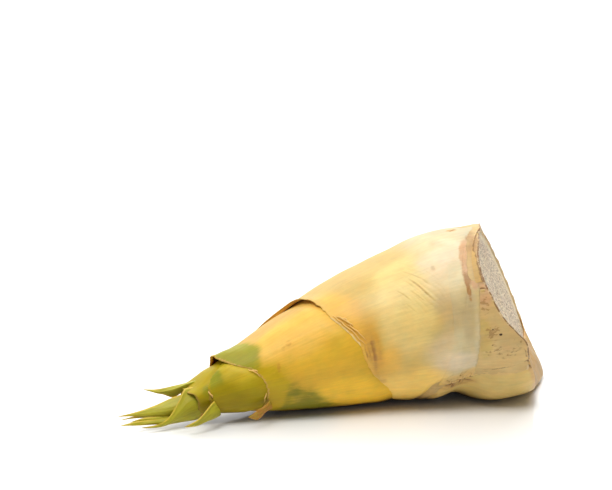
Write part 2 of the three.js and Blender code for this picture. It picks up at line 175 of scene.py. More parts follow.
class Body:
    """The shoot's profile, the lines of its sheath edges and roots, and the cut at its base."""

    HALF = Curve(
        [
            (14, 3), (40, 7.5), (75, 15.5), (120, 29.2), (170, 41.4), (220, 49.2), (245, 50.3),
            (275, 48.5),
        ]
    )
    LOW = Curve([(14, 6), (40, 5), (75, 4), (120, -0.2), (170, -1), (220, -0.6), (245, -0.6), (275, 1)])
    SIDE = Curve([(14, 6), (40, 6), (75, 4), (120, 6.5), (170, 5), (220, -4.5), (245, -10), (275, -17)])
    EDGES = (
        Curve(
            [(-135, 140), (-110, 165), (-90, 176), (-60, 169), (-37, 162), (-21, 153.8), (-9, 148.8),
             (1, 146.4),
             (10, 144.8), (18, 143), (29, 139.2), (40, 135.2), (50, 132), (62, 129.6), (80, 125.4),
             (98, 120), (112, 114), (125, 103), (145, 94), (165, 96), (190, 108)],
            around=True,
        ),
        Curve(
            [(-120, 86), (-90, 90), (-65, 89), (-45, 92.5), (-15, 94), (10, 92), (31, 87), (55, 78),
             (78, 73), (92, 70), (104, 69), (118, 69.5), (135, 70), (155, 71), (180, 74), (210, 80)],
            around=True,
        ),
        Curve(
            [(-130, 76), (-90, 70), (-55, 69), (-35, 67), (-14, 64), (16, 62.5), (33, 63), (60, 66),
             (78, 72), (105, 80), (140, 82), (180, 80)],
            around=True,
        ),
        Curve(
            [(-130, 62), (-90, 60), (-40, 57.5), (-12, 57), (12, 56.3), (40, 54), (54, 52.5), (74, 54),
             (100, 55), (140, 54), (180, 57)],
            around=True,
        ),
        Curve([(-150, 54), (-75, 60), (-40, 61), (40, 61), (62, 57), (90, 53), (150, 53)], around=True),
    )
    ROOTS = (
        Curve(
            [(-150, 196), (-90, 187), (-60, 186), (-38, 188), (0, 192), (40, 193.5), (58, 197),
             (68, 202), (82, 211), (98, 217), (125, 217), (150, 210), (180, 203)],
            around=True,
        ),
        179.0,
        158.0,
        132.0,
        106.0,
    )
    CUT_NORMAL = np.array([0.814, -0.432, 0.388]) / np.linalg.norm([0.814, -0.432, 0.388])
    CUT_DISTANCE = 219.2
    WAIST_AT, WAIST_DEPTH, WAIST_REACH = 205.0, 4.6, 8.5
    GAP = 0.45
    SETTLE = (9.0, 0.08)  # least, and share of the edge's s: how soon the sheath below rises again
    TUCK = 3.0  # the sheath below starts to rise this far under the edge
    SWELL = 0.35  # slow unevenness of the whole body
    FILM_OVERLAP = 0.3  # how far the torn film reaches under the outer sheath's root
    STRIP_SHORT = 0.5  # how far short of the cut the dry strip ends
    CUT_SEARCH = (180.0, 300.0)  # the stretch of s in which the cut lies
    CROWN = Curve(
        [(36, 0), (48, -3.4), (56, -5), (60.5, -3.5), (64, -2.2), (67, -1.4), (71, -0.4), (76, 1.2),
         (87, 1.3),
         (113, 1.4), (127, 2.2), (146, 2.0), (164, 0.6), (181, 0.3), (191, 1.4), (203, 1.0), (213, 0.2),
         (222, -1.2), (232, -1.4)]
    )  # how much the top rises above the profile

    def __init__(self) -> None:
        """Draws the body's slow unevenness."""
        self.swell = Noise(11)

    def pitch(self, s: Values) -> Values:
        """Thickness of one sheath and its clearance at s."""
        return 1.1 + 0.7 * np.clip((s - 45.0) / 105.0, 0.0, 1.0)

    def edge(self, layer: int, angle: Values) -> Values:
        """Where the free edge of sheath number layer runs, as s at each angle."""
        return self.EDGES[layer - 1](angle)

    def root(self, layer: int, angle: Values) -> Values:
        """Where sheath number layer is rooted, as s at each angle."""
        line = self.ROOTS[layer - 1]
        return line(angle) if isinstance(line, Curve) else np.full_like(angle, line)

    def covered(self, layer: int, s: Values, angle: Values) -> Values:
        """How many sheaths lie over sheath number layer, each counted out smoothly at its edge."""
        least, share = self.SETTLE
        total = np.zeros_like(s)
        for above in range(1, layer):
            edge = self.edge(above, angle)
            total += 1.0 - smoothstep((edge + self.TUCK - s) / np.maximum(least, share * edge), 0.0, 1.0)
        return total

    def outside(self, layer: int, s: Values, angle: Values) -> Values:
        """Offset of the outside of sheath number layer from the profile."""
        return -self.pitch(s) * self.covered(layer, s, angle)

    def radius(self, s: Values) -> Values:
        """Half the body's thickness at s."""
        return self.HALF(s)

    def under(self, angle: Values) -> Values:
        """How much a place belongs to the strip that faces the floor, which the finishes paint dark brown as
        painted shade.
        """
        return 1.0 - smoothstep(np.abs(turned(angle + 90.0)), 10.0, 44.0)

    def point(self, s: Values, angle: Values, offset: Values | float = 0.0) -> Values:
        """The point at s and an angle, kept above the floor.

        Args:
            s: Distance along the shoot.
            angle: Degrees round it.
            offset: How far outside the profile.

        Returns:
            Points as an array whose last axis is (s, y, z).
        """
        s, angle = np.broadcast_arrays(np.asarray(s, float), np.asarray(angle, float))
        turn = np.radians(angle)
        below = np.maximum(0.0, -np.sin(turn))
        groove = self.WAIST_DEPTH * below * np.exp(-(((s - self.WAIST_AT) / self.WAIST_REACH) ** 2))
        lumps = self.swell((turned(angle) + 180.0) / 30.0, s / 22.0, 12)
        uneven = self.SWELL * lumps * smoothstep(s, 60.0, 120.0) * (1.0 - below)
        half = self.HALF(s)
        radius = half + offset - groove + uneven
        crown = self.CROWN(s) * np.maximum(0.0, np.sin(turn)) ** 2
        height = self.LOW(s) + half + radius * np.sin(turn) + crown
        floor = np.maximum(0.02, -np.asarray(offset, float))
        height = floor + np.logaddexp(0.0, (height - floor) * 5.0) / 5.0
        return np.stack([s, self.SIDE(s) - radius * np.cos(turn), height], -1)

    def cut_station(self, angle: Values, offset: Values | float) -> Values:
        """The s at which the line of an angle and offset meets the knife cut."""
        low, high = (np.full(np.shape(angle), end) for end in self.CUT_SEARCH)
        for _ in range(30):
            middle = (low + high) / 2.0
            inside = self.point(middle, angle, offset) @ self.CUT_NORMAL < self.CUT_DISTANCE
            low, high = np.where(inside, middle, low), np.where(inside, high, middle)
        return (low + high) / 2.0

    def film_line(self, angle: Values) -> Values:
        """Where the torn film starts, just under the outer sheath's root."""
        return self.root(1, angle) - self.FILM_OVERLAP

    def strip_line(self, angle: Values) -> Values:
        """Where the dry strip ends, just short of the cut."""
        return self.cut_station(angle, np.zeros_like(angle)) - self.STRIP_SHORT


# ---- Marks on the skin -------------------------------------------------------------------------


@dataclass(frozen=True)
class Patch:
    """A soft-edged patch on the skin."""

    s: float
    angle: float
    length: float  # half its length along the shoot
    girth: float  # half its width round the shoot, in mm
    strength: float = 1.0
    turn: float = 0.0  # degrees from the shoot's line towards a rising angle

    def mask(self, body: Body, s: Values, angle: Values) -> Values:
        """How strongly the patch shows at each place, from 0 to its strength."""
        along = s - self.s
        across = np.radians(turned(angle - self.angle)) * body.radius(np.asarray(self.s))
        turn = math.radians(self.turn)
        first = along * math.cos(turn) + across * math.sin(turn)
        second = across * math.cos(turn) - along * math.sin(turn)
        return self.strength * np.exp(-((first / self.length) ** 2 + (second / self.girth) ** 2) ** 1.5)


@dataclass(frozen=True)
class Crease:
    """A fine fold or crack that follows a line of (s, angle) points."""

    line: tuple[tuple[float, float], ...]
    width: float = 0.8
    depth: float = 0.25
    ridge: float = 0.5  # height of the fold beside it, as a share of the depth
    side: float = 1.0  # which side the fold is on
    tint: float = 1.0  # how strongly the line is coloured

    def near(self, body: Body, s: Values, angle: Values) -> tuple[Values, Values]:
        """How far each place is from the line, and how much of the crease is left there.

        Args:
            body: The body that turns angles into millimetres.
            s: Distance along the shoot.
            angle: Degrees round it.

        Returns:
            The signed distance in mm, and a share from 0 at the line's ends to 1 in its middle.
        """
        places = np.arange(len(self.line), dtype=float)
        run = np.linspace(0.0, places[-1], 8 * len(self.line))
        line_s = Curve(list(zip(places, [p[0] for p in self.line])))(run)
        line_angle = Curve(list(zip(places, [p[1] for p in self.line])))(run)
        scale = math.pi / 180.0 * float(body.radius(np.asarray(line_s.mean())))
        best = np.full(s.shape, 1e9)
        share = np.zeros(s.shape)
        sign = np.ones(s.shape)
        steps = np.stack([np.gradient(line_s), np.gradient(line_angle) * scale], -1)
        for index in range(len(run)):
            along = s - line_s[index]
            across = turned(angle - line_angle[index]) * scale
            distance = np.hypot(along, across)
            closer = distance < best
            best = np.where(closer, distance, best)
            share = np.where(closer, run[index] / places[-1], share)
            turn = steps[index, 0] * across - steps[index, 1] * along
            sign = np.where(closer, np.sign(turn), sign)
        return best * sign, np.sin(math.pi * share) ** 0.5

    def height(self, body: Body, s: Values, angle: Values) -> Values:
        """How much the crease lowers or lifts the skin, in mm."""
        distance, left = self.near(body, s, angle)
        groove = np.exp(-((distance / (0.6 * self.width)) ** 2))
        fold = np.exp(-(((distance - self.side * self.width) / (0.8 * self.width)) ** 2))
        return self.depth * left * (self.ridge * fold - groove)

    def mask(self, body: Body, s: Values, angle: Values) -> Values:
        """How strongly the crease colours the skin, from 0 to 1: a brown line, partly real stain and partly
        painted shade in the groove.
        """
        distance, left = self.near(body, s, angle)
        return left * np.exp(-((distance / self.width) ** 2))


@dataclass(frozen=True)
class Pleats:
    """A patch of fine wrinkles that run side by side."""

    patch: Patch
    turn: float  # degrees from the shoot's line to the wrinkles' line
    spacing: float = 2.0
    depth: float = 0.2
    seed: int = 3

    def height(self, body: Body, s: Values, angle: Values) -> Values:
        """How much the wrinkles lower the skin, in mm."""
        along = s - self.patch.s
        across = np.radians(turned(angle - self.patch.angle)) * body.radius(np.asarray(self.patch.s))
        turn = math.radians(self.turn)
        line = along * math.cos(turn) + across * math.sin(turn)
        side = across * math.cos(turn) - along * math.sin(turn)
        noise = Noise(self.seed)
        warped = side + 0.5 * self.spacing * noise(line / 8.0 + 60.0, side / 6.0 + 60.0)
        groove = 1.0 - np.abs(np.sin(math.pi * warped / self.spacing)) ** 0.6
        kept = np.clip(0.6 + 0.9 * noise(warped / self.spacing + 90.0, line / 9.0 + 30.0), 0.0, 1.0)
        return -self.depth * groove * kept * self.patch.mask(body, s, angle)


@dataclass(frozen=True)
class Crumple:
    """A patch of skin crushed into a network of small folds."""

    patch: Patch
    size: float = 2.4
    depth: float = 0.32
    seed: int = 13

    def folds(self, s: Values, angle: Values) -> tuple[Values, Values]:
        """How much of a groove, and how much of a ridge, each place is, from 0 to 1."""
        noise = Noise(self.seed)
        across = np.radians(turned(angle) + 180.0) * 46.0
        bend = noise(s / 7.0 + 11.0, across / 7.0 + 5.0)
        wide = noise(s / self.size + 20.0 + bend, across / self.size * 0.8 + bend)
        fine = noise(s / self.size * 2.3 + 70.0, across / self.size * 1.9 + 30.0 + bend)
        groove = np.exp(-((wide / 0.13) ** 2)) + 0.6 * np.exp(-((fine / 0.12) ** 2))
        return np.clip(groove, 0.0, 1.0), np.abs(wide)

    def height(self, body: Body, s: Values, angle: Values) -> Values:
        """How much the folds lift or lower the skin, in mm."""
        groove, ridge = self.folds(s, angle)
        return self.depth * self.patch.mask(body, s, angle) * (ridge - groove)

    def mask(self, body: Body, s: Values, angle: Values) -> Values:
        """How strongly the grooves colour the skin, from 0 to 1: brown, partly real stain and partly painted
        shade in the folds.
        """
        return self.folds(s, angle)[0] * self.patch.mask(body, s, angle)


@dataclass(frozen=True)
class Marks:
    """What shows on a skin: patches, folds that are felt and seen, lines only seen, and wrinkles."""

    patches: Mapping[str, tuple[Patch, ...]] = field(default_factory=dict)
    creases: tuple[Crease, ...] = ()
    stains: tuple[Crease, ...] = ()
    pleats: tuple[Pleats, ...] = ()
    crumples: tuple[Crumple, ...] = ()

    def height(self, body: Body, s: Values, angle: Values) -> Values:
        """How much the marks lift or lower the skin, in mm."""
        total = np.zeros(s.shape)
        for mark in (*self.creases, *self.pleats, *self.crumples):
            total = total + mark.height(body, s, angle)
        return total

    def masks(self, body: Body, s: Values, angle: Values) -> Masks:
        """How strongly each named patch shows, and the brown along the lines and in the grooves, which is
        partly real stain and partly painted shade in the creases.
        """
        found: Masks = {}
        for key, patches in self.patches.items():
            found[key] = sum((patch.mask(body, s, angle) for patch in patches), np.zeros(s.shape))
        stain = np.zeros(s.shape)
        for line in (*self.creases, *self.stains):
            stain = np.maximum(stain, line.tint * line.mask(body, s, angle))
        for crumple in self.crumples:
            stain = np.maximum(stain, crumple.mask(body, s, angle))
        found["stain"] = stain
        return found


GRAIN_RADIUS = 32.0  # an even radius, so that the grain is as fine at the tip as at the base


def grain_of(s: Values, angle: Values) -> Masks:
    """Coordinates in mm whose first two run round the shoot and whose third runs along it."""
    turn = np.radians(angle)
    return {"grain_x": np.cos(turn) * GRAIN_RADIUS, "grain_y": np.sin(turn) * GRAIN_RADIUS, "grain_z": s}


# ---- Meshes ------------------------------------------------------------------------------------


def grid_faces(rows: int, columns: int, wrap: bool) -> NDArray[np.int64]:
    """The four-sided faces of a grid of points.

    Args:
        rows: How many rows of points.
        columns: How many points in a row.
        wrap: Whether a row's last point joins its first.

    Returns:
        Four point numbers for each face.
    """
    index = np.arange(rows * columns).reshape(rows, columns)
    following = np.roll(index, -1, axis=1)
    near, far = index[:-1], index[1:]
    next_near, next_far = following[:-1], following[1:]
    if not wrap:
        near, far, next_near, next_far = (part[:, :-1] for part in (near, far, next_near, next_far))
    return np.stack([near, next_near, next_far, far], -1).reshape(-1, 4)


@dataclass
class Skin:
    """A surface made of grids of points, with a number for each point under each name."""

    points: list[Values] = field(default_factory=list)
    faces: list[NDArray[np.int64]] = field(default_factory=list)
    values: dict[str, list[Values]] = field(default_factory=dict)
    count: int = 0

    def add_grid(self, points: Values, values: Mapping[str, Values], wrap: bool = False) -> None:
        """Adds a grid.

        Args:
            points: Rows by columns by (s, y, z).
            values: Rows by columns of numbers under each name.
            wrap: Whether each row closes on itself.
        """
        rows, columns = points.shape[:2]
        self.faces.append(grid_faces(rows, columns, wrap) + self.count)
        self.points.append(points.reshape(-1, 3))
        for name in set(self.values) | set(values):
            blank = [np.zeros(self.count)] if name not in self.values and self.count else []
            here = np.broadcast_to(values.get(name, 0.0), (rows, columns)).reshape(-1)
            self.values.setdefault(name, blank).append(np.array(here, float))
        self.count += rows * columns

    def build(self, name: str, finish: "Finish", slot: Slot, node: str) -> bpy.types.Object:
        """Makes the mesh, dresses it and lets it ride in place of a CAD node.

        Args:
            name: The piece's name.
            finish: What it is dressed in.
            slot: The record's slot of that finish; not used.
            node: The CAD node that the piece stands for.

        Returns:
            The new piece.
        """
        points = np.concatenate(self.points) + np.array([-TIP_TO_MIDDLE, SIDE_TO_MIDDLE, 0.0])
        faces = np.concatenate(self.faces)
        mesh = bpy.data.meshes.new(name)
        mesh.vertices.add(len(points))
        mesh.vertices.foreach_set("co", (points * METRES).astype(np.float32).ravel())
        mesh.loops.add(faces.size)
        mesh.loops.foreach_set("vertex_index", faces.astype(np.int32).ravel())
        mesh.polygons.add(len(faces))
        mesh.polygons.foreach_set("loop_start", np.arange(0, faces.size, 4, dtype=np.int32))
        mesh.polygons.foreach_set("use_smooth", np.ones(len(faces), bool))
        joined = {key: np.concatenate(parts).astype(np.float32) for key, parts in self.values.items()}
        level = np.zeros(len(points), np.float32)
        axes = [joined.pop(key, level) for key in ("grain_x", "grain_y", "grain_z")]
        layer = mesh.attributes.new("grain", "FLOAT_VECTOR", "POINT")
        layer.data.foreach_set("vector", np.stack(axes, -1).ravel())
        for key, numbers in joined.items():
            layer = mesh.attributes.new(key, "FLOAT", "POINT")
            layer.data.foreach_set("value", numbers)
        mesh.update(calc_edges=True)
        mesh.validate()
        mesh.materials.append(finish.material())
        piece = bpy.data.objects.new(name, mesh)
        bpy.context.scene.collection.objects.link(piece)
        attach(piece, BODY)
        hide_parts(node)
        LOG.info("%s: %d faces", name, len(faces))
        return piece


def around_columns(fine: float, coarse: float) -> Values:
    """Angles round the shoot from the underside, closer together on the near side and the top.

    Args:
        fine: Degrees between columns on the near side.
        coarse: Degrees between columns on the far side.

    Returns:
        The angles, rising from -90 and ending before 270.
    """
    near = np.arange(-90.0, 125.0, fine)
    return np.concatenate([near, np.linspace(125.0, 270.0, max(8, round(145.0 / coarse)), endpoint=False)])


# ---- Finishes ----------------------------------------------------------------------------------


def linear(colour: str) -> tuple[float, float, float, float]:
    """An sRGB hex colour as linear red, green, blue and an alpha of 1."""
    channels = [int(colour[at : at + 2], 16) / 255.0 for at in (1, 3, 5)]
    red, green, blue = (c / 12.92 if c <= 0.04045 else ((c + 0.055) / 1.055) ** 2.4 for c in channels)
    return red, green, blue, 1.0


def add_node(
    tree: bpy.types.NodeTree,
    kind: str,
    inputs: Mapping[str | int, Any] | None = None,
    **settings: Any,
) -> bpy.types.Node:
    """Adds a node with its settings and links.

    Args:
        tree: The material's node tree.
        kind: The node's type name.
        inputs: A value for each input, or the output socket that is linked to it.
        **settings: The node's own properties.

    Returns:
        The new node.
    """
    node = tree.nodes.new(kind)
    for key, value in settings.items():
        setattr(node, key, value)
    for key, value in (inputs or {}).items():
        if isinstance(value, bpy.types.NodeSocket):
            tree.links.new(value, node.inputs[key])
        else:
            node.inputs[key].default_value = value
    return node


@dataclass(frozen=True)
class Layer:
    """A colour that lies over the ones before it where a mask is high."""

    mask: str
    colour: str
    ragged: float = 0.3  # how much the grain moves the mask
    grain_mm: float = 5.0
    low: float = 0.0  # mask at which it starts to show
    high: float = 1.0  # mask at which it covers
    most: float = 1.0


@dataclass(frozen=True)
class Finish:
    """A plant skin: a base colour, coloured layers, lengthwise veins and fine pores.

    The eye gets a satin, slightly waxy surface that light enters a little way.
    """

    name: str
    colour: str
    layers: tuple[Layer, ...] = ()
    vein_colour: str = "#8c7a30"
    vein_strength: float = 0.12
    vein_mm: float = 1.1
    vein_bump_mm: float = 0.05
    pore_mm: float = 0.7
    pore_bump_mm: float = 0.02
    blotch_mm: float = 14.0
    blotch: float = 0.1
    streak_mm: float = 1.3
    streak: float = 0.07
    roughness: float = 0.45
    subsurface: float = 0.15
    subsurface_mm: float = 2.0
    specular: float = 0.4

    COOL = (0.98, 1.01, 1.03, 1.0)  # the two tints that every skin drifts between
    WARM = (1.03, 0.985, 0.94, 1.0)
    DRIFTS = 2.2  # how many drifts of tint there are to a blotch
    GLOW = (1.0, 0.55, 0.25)  # how far red, green and blue light spreads in plant flesh, as shares
    STREAK_STRETCH, LAYER_STRETCH, VEIN_STRETCH, RIB_STRETCH = 8.0, 2.5, 40.0, 30.0

    def grain(self, tree: bpy.types.NodeTree, size_mm: float, stretch: float) -> bpy.types.NodeSocket:
        """Coordinates that follow the plant's fibres.

        Args:
            tree: The material's node tree.
            size_mm: Size of a cell across the fibres.
            stretch: How many times longer a cell is along them.

        Returns:
            The vector output.
        """
        grain = add_node(tree, "ShaderNodeAttribute", attribute_name="grain").outputs["Vector"]
        across = 1.0 / size_mm
        cells = {0: grain, 1: (across, across, across / stretch)}
        return add_node(tree, "ShaderNodeVectorMath", cells, operation="MULTIPLY").outputs[0]

    def shade(self, tree: bpy.types.NodeTree, place: bpy.types.NodeSocket) -> bpy.types.NodeSocket:
        """How light the skin is, around 1: soft blotches times fine lengthwise streaks.

        Args:
            tree: The material's node tree.
            place: The place on the shoot, in metres.

        Returns:
            The value output.
        """
        streaks = self.grain(tree, self.streak_mm, self.STREAK_STRETCH)
        parts = []
        for vector, scale, detail, rough, low, high, swing in (
            (place, 1.0 / (self.blotch_mm * METRES), 6.0, 0.62, 0.25, 0.75, self.blotch),
            (streaks, 1.0, 4.0, 0.65, 0.3, 0.7, self.streak),
        ):
            noise = {"Vector": vector, "Scale": scale, "Detail": detail, "Roughness": rough}
            height = add_node(tree, "ShaderNodeTexNoise", noise).outputs["Fac"]
            span = {0: height, 1: low, 2: high, 3: 1.0 - swing, 4: 1.0 + swing}
            parts.append(add_node(tree, "ShaderNodeMapRange", span).outputs[0])
        return add_node(tree, "ShaderNodeMath", dict(enumerate(parts)), operation="MULTIPLY").outputs[0]

    def tint(self, tree: bpy.types.NodeTree, place: bpy.types.NodeSocket) -> bpy.types.NodeSocket:
        """A tint that drifts over the skin between a cool and a warm one.

        Args:
            tree: The material's node tree.
            place: The place on the shoot, in metres.

        Returns:
            The colour output.
        """
        scale = self.DRIFTS / (self.blotch_mm * METRES)
        noise = {"Vector": place, "Scale": scale, "Detail": 5.0, "Roughness": 0.6}
        warmth = add_node(tree, "ShaderNodeTexNoise", noise).outputs["Fac"]
        span = {0: warmth, 1: 0.35, 2: 0.65, 3: 0.0, 4: 1.0}
        share = add_node(tree, "ShaderNodeMapRange", span).outputs[0]
        both = {0: share, 6: self.COOL, 7: self.WARM}
        return add_node(tree, "ShaderNodeMix", both, data_type="RGBA").outputs[2]

    def covered(self, tree: bpy.types.NodeTree, colour: Any, layer: Layer) -> bpy.types.NodeSocket:
        """The colour with one layer over it.

        Args:
            tree: The material's node tree.
            colour: The colour below, as a value or an output.
            layer: The layer, whose mask is made ragged by the plant's grain.

        Returns:
            The colour output.
        """
        mask = add_node(tree, "ShaderNodeAttribute", attribute_name=layer.mask).outputs["Fac"]
        cells = self.grain(tree, layer.grain_mm, self.LAYER_STRETCH)
        noise = {"Vector": cells, "Scale": 1.0, "Detail": 4.0, "Roughness": 0.6}
        grain = add_node(tree, "ShaderNodeTexNoise", noise).outputs["Fac"]
        span = {0: grain, 1: 0.3, 2: 0.7, 3: 1.0 - 2.0 * layer.ragged, 4: 1.0 + 2.0 * layer.ragged}
        moved = add_node(tree, "ShaderNodeMapRange", span, clamp=False).outputs[0]
        total = add_node(tree, "ShaderNodeMath", {0: mask, 1: moved}, operation="MULTIPLY").outputs[0]
        span = {0: total, 1: layer.low, 2: layer.high, 3: 0.0, 4: layer.most}
        share = add_node(tree, "ShaderNodeMapRange", span, interpolation_type="SMOOTHSTEP").outputs[0]
        over = {0: share, 6: colour, 7: linear(layer.colour)}
        return add_node(tree, "ShaderNodeMix", over, data_type="RGBA").outputs[2]

    def painted(self, tree: bpy.types.NodeTree) -> bpy.types.NodeSocket:
        """The colour output: each layer over the base colour, then shade and tint, then the veins."""
        place = add_node(tree, "ShaderNodeTexCoord").outputs["Object"]
        colour = linear(self.colour)
        for layer in self.layers:
            colour = self.covered(tree, colour, layer)
        for uneven in (self.shade(tree, place), self.tint(tree, place)):
            both = {0: 1.0, 6: colour, 7: uneven}
            mixed = add_node(tree, "ShaderNodeMix", both, data_type="RGBA", blend_type="MULTIPLY")
            colour = mixed.outputs[2]
        cells = self.grain(tree, self.vein_mm, self.VEIN_STRETCH)
        noise = {"Vector": cells, "Scale": 1.0, "Detail": 4.0, "Roughness": 0.7}
        veins = add_node(tree, "ShaderNodeTexNoise", noise).outputs["Fac"]
        span = {0: veins, 1: 0.5, 2: 0.75, 3: 0.0, 4: self.vein_strength}
        share = add_node(tree, "ShaderNodeMapRange", span).outputs[0]
        over = {0: share, 6: colour, 7: linear(self.vein_colour)}
        return add_node(tree, "ShaderNodeMix", over, data_type="RGBA").outputs[2]

    def relief(self, tree: bpy.types.NodeTree) -> bpy.types.NodeSocket:
        """The normal output: pores over lengthwise veins."""
        place = add_node(tree, "ShaderNodeTexCoord").outputs["Object"]
        ribs = self.grain(tree, self.vein_mm, self.RIB_STRETCH)
        below: dict[str, bpy.types.NodeSocket] = {}
        for vector, scale, bump_mm in (
            (ribs, 1.0, self.vein_bump_mm),
            (place, 1.0 / (self.pore_mm * METRES), self.pore_bump_mm),
        ):
            noise = {"Vector": vector, "Scale": scale, "Detail": 3.0, "Roughness": 0.6}
            height = add_node(tree, "ShaderNodeTexNoise", noise).outputs["Fac"]
            bump = {"Height": height, "Strength": 1.0, "Distance": bump_mm * METRES, **below}
            below = {"Normal": add_node(tree, "ShaderNodeBump", bump).outputs[0]}
        return below["Normal"]

    def material(self) -> bpy.types.Material:
        """The finish as a material, made once."""
        known = bpy.data.materials.get(self.name)
        if known is not None:
            return known
        material = bpy.data.materials.new(self.name)
        material.use_nodes = True
        tree = material.node_tree
        tree.nodes.clear()
        shader = add_node(
            tree,
            "ShaderNodeBsdfPrincipled",
            {
                "Base Color": self.painted(tree),
                "Normal": self.relief(tree),
                "Roughness": self.roughness,
                "Subsurface Weight": self.subsurface,
                "Subsurface Radius": self.GLOW,
                "Subsurface Scale": self.subsurface_mm * METRES,
                "Specular IOR Level": self.specular,
            },
        )
        add_node(tree, "ShaderNodeOutputMaterial", {"Surface": shader.outputs[0]})
        return material


@dataclass(frozen=True)
class CutFlesh(Finish):
    """Knife-cut culm flesh: off-white and moist, with a fleck where each bundle of vessels was cut.

    Real flecks are finer than they are drawn here: about 1 mm is as coarse as they need to show.
    """

    fleck_mm: float = 1.05
    fleck_colour: str = "#94704a"
    fleck_depth_mm: float = 0.12

    SQUASH = (1.0, 0.6, 1.0)  # flecks are longer across the shoot than along it
    FLECK_LOW, FLECK_HIGH, FLECK_MOST = 0.44, 0.64, 0.9

    def painted(self, tree: bpy.types.NodeTree) -> bpy.types.NodeSocket:
        """The colour output: the plain layers, with darker flecks in the cut."""
        colour = super().painted(tree)
        cut = add_node(tree, "ShaderNodeAttribute", attribute_name="cut").outputs["Fac"]
        both = {0: self.flecks(tree), 1: cut}
        share = add_node(tree, "ShaderNodeMath", both, operation="MULTIPLY").outputs[0]
        over = {0: share, 6: colour, 7: linear(self.fleck_colour)}
        return add_node(tree, "ShaderNodeMix", over, data_type="RGBA").outputs[2]

    def flecks(self, tree: bpy.types.NodeTree) -> bpy.types.NodeSocket:
        """How much each place belongs to a fleck, from 0 to its most."""
        place = {0: add_node(tree, "ShaderNodeTexCoord").outputs["Object"], 1: self.SQUASH}
        vector = add_node(tree, "ShaderNodeVectorMath", place, operation="MULTIPLY").outputs[0]
        scale = 1.0 / (self.fleck_mm * METRES)
        noise = {"Vector": vector, "Scale": scale, "Detail": 1.0, "Roughness": 0.6}
        speckle = add_node(tree, "ShaderNodeTexNoise", noise).outputs["Fac"]
        span = {0: speckle, 1: self.FLECK_LOW, 2: self.FLECK_HIGH, 3: 0.0, 4: self.FLECK_MOST}
        return add_node(tree, "ShaderNodeMapRange", span).outputs[0]

    def relief(self, tree: bpy.types.NodeTree) -> bpy.types.NodeSocket:
        """The normal output: the flecks, slightly sunk, over the skin's own relief."""
        bump = {
            "Height": self.flecks(tree),
            "Strength": 1.0,
            "Distance": self.fleck_depth_mm * METRES,
            "Normal": super().relief(tree),
        }
        return add_node(tree, "ShaderNodeBump", bump, invert=True).outputs[0]


# ---- Leaf sheaths ------------------------------------------------------------------------------


@dataclass(frozen=True)
class Lip:
    """How a free edge bends: outwards where the lift is above 0, down onto the next sheath below 0."""

    lift: tuple[tuple[float, float], ...]  # (angle, millimetres)
    reach: float = 9.0

    def height(self, angle: Values, back: Values) -> Values:
        """How far the lip stands out.

        Args:
            angle: Degrees round the shoot.
            back: Distance back from the edge.

        Returns:
            Millimetres outwards.
        """
        return Curve(self.lift, around=True)(angle) * np.clip(1.0 - back / self.reach, 0.0, 1.0) ** 2


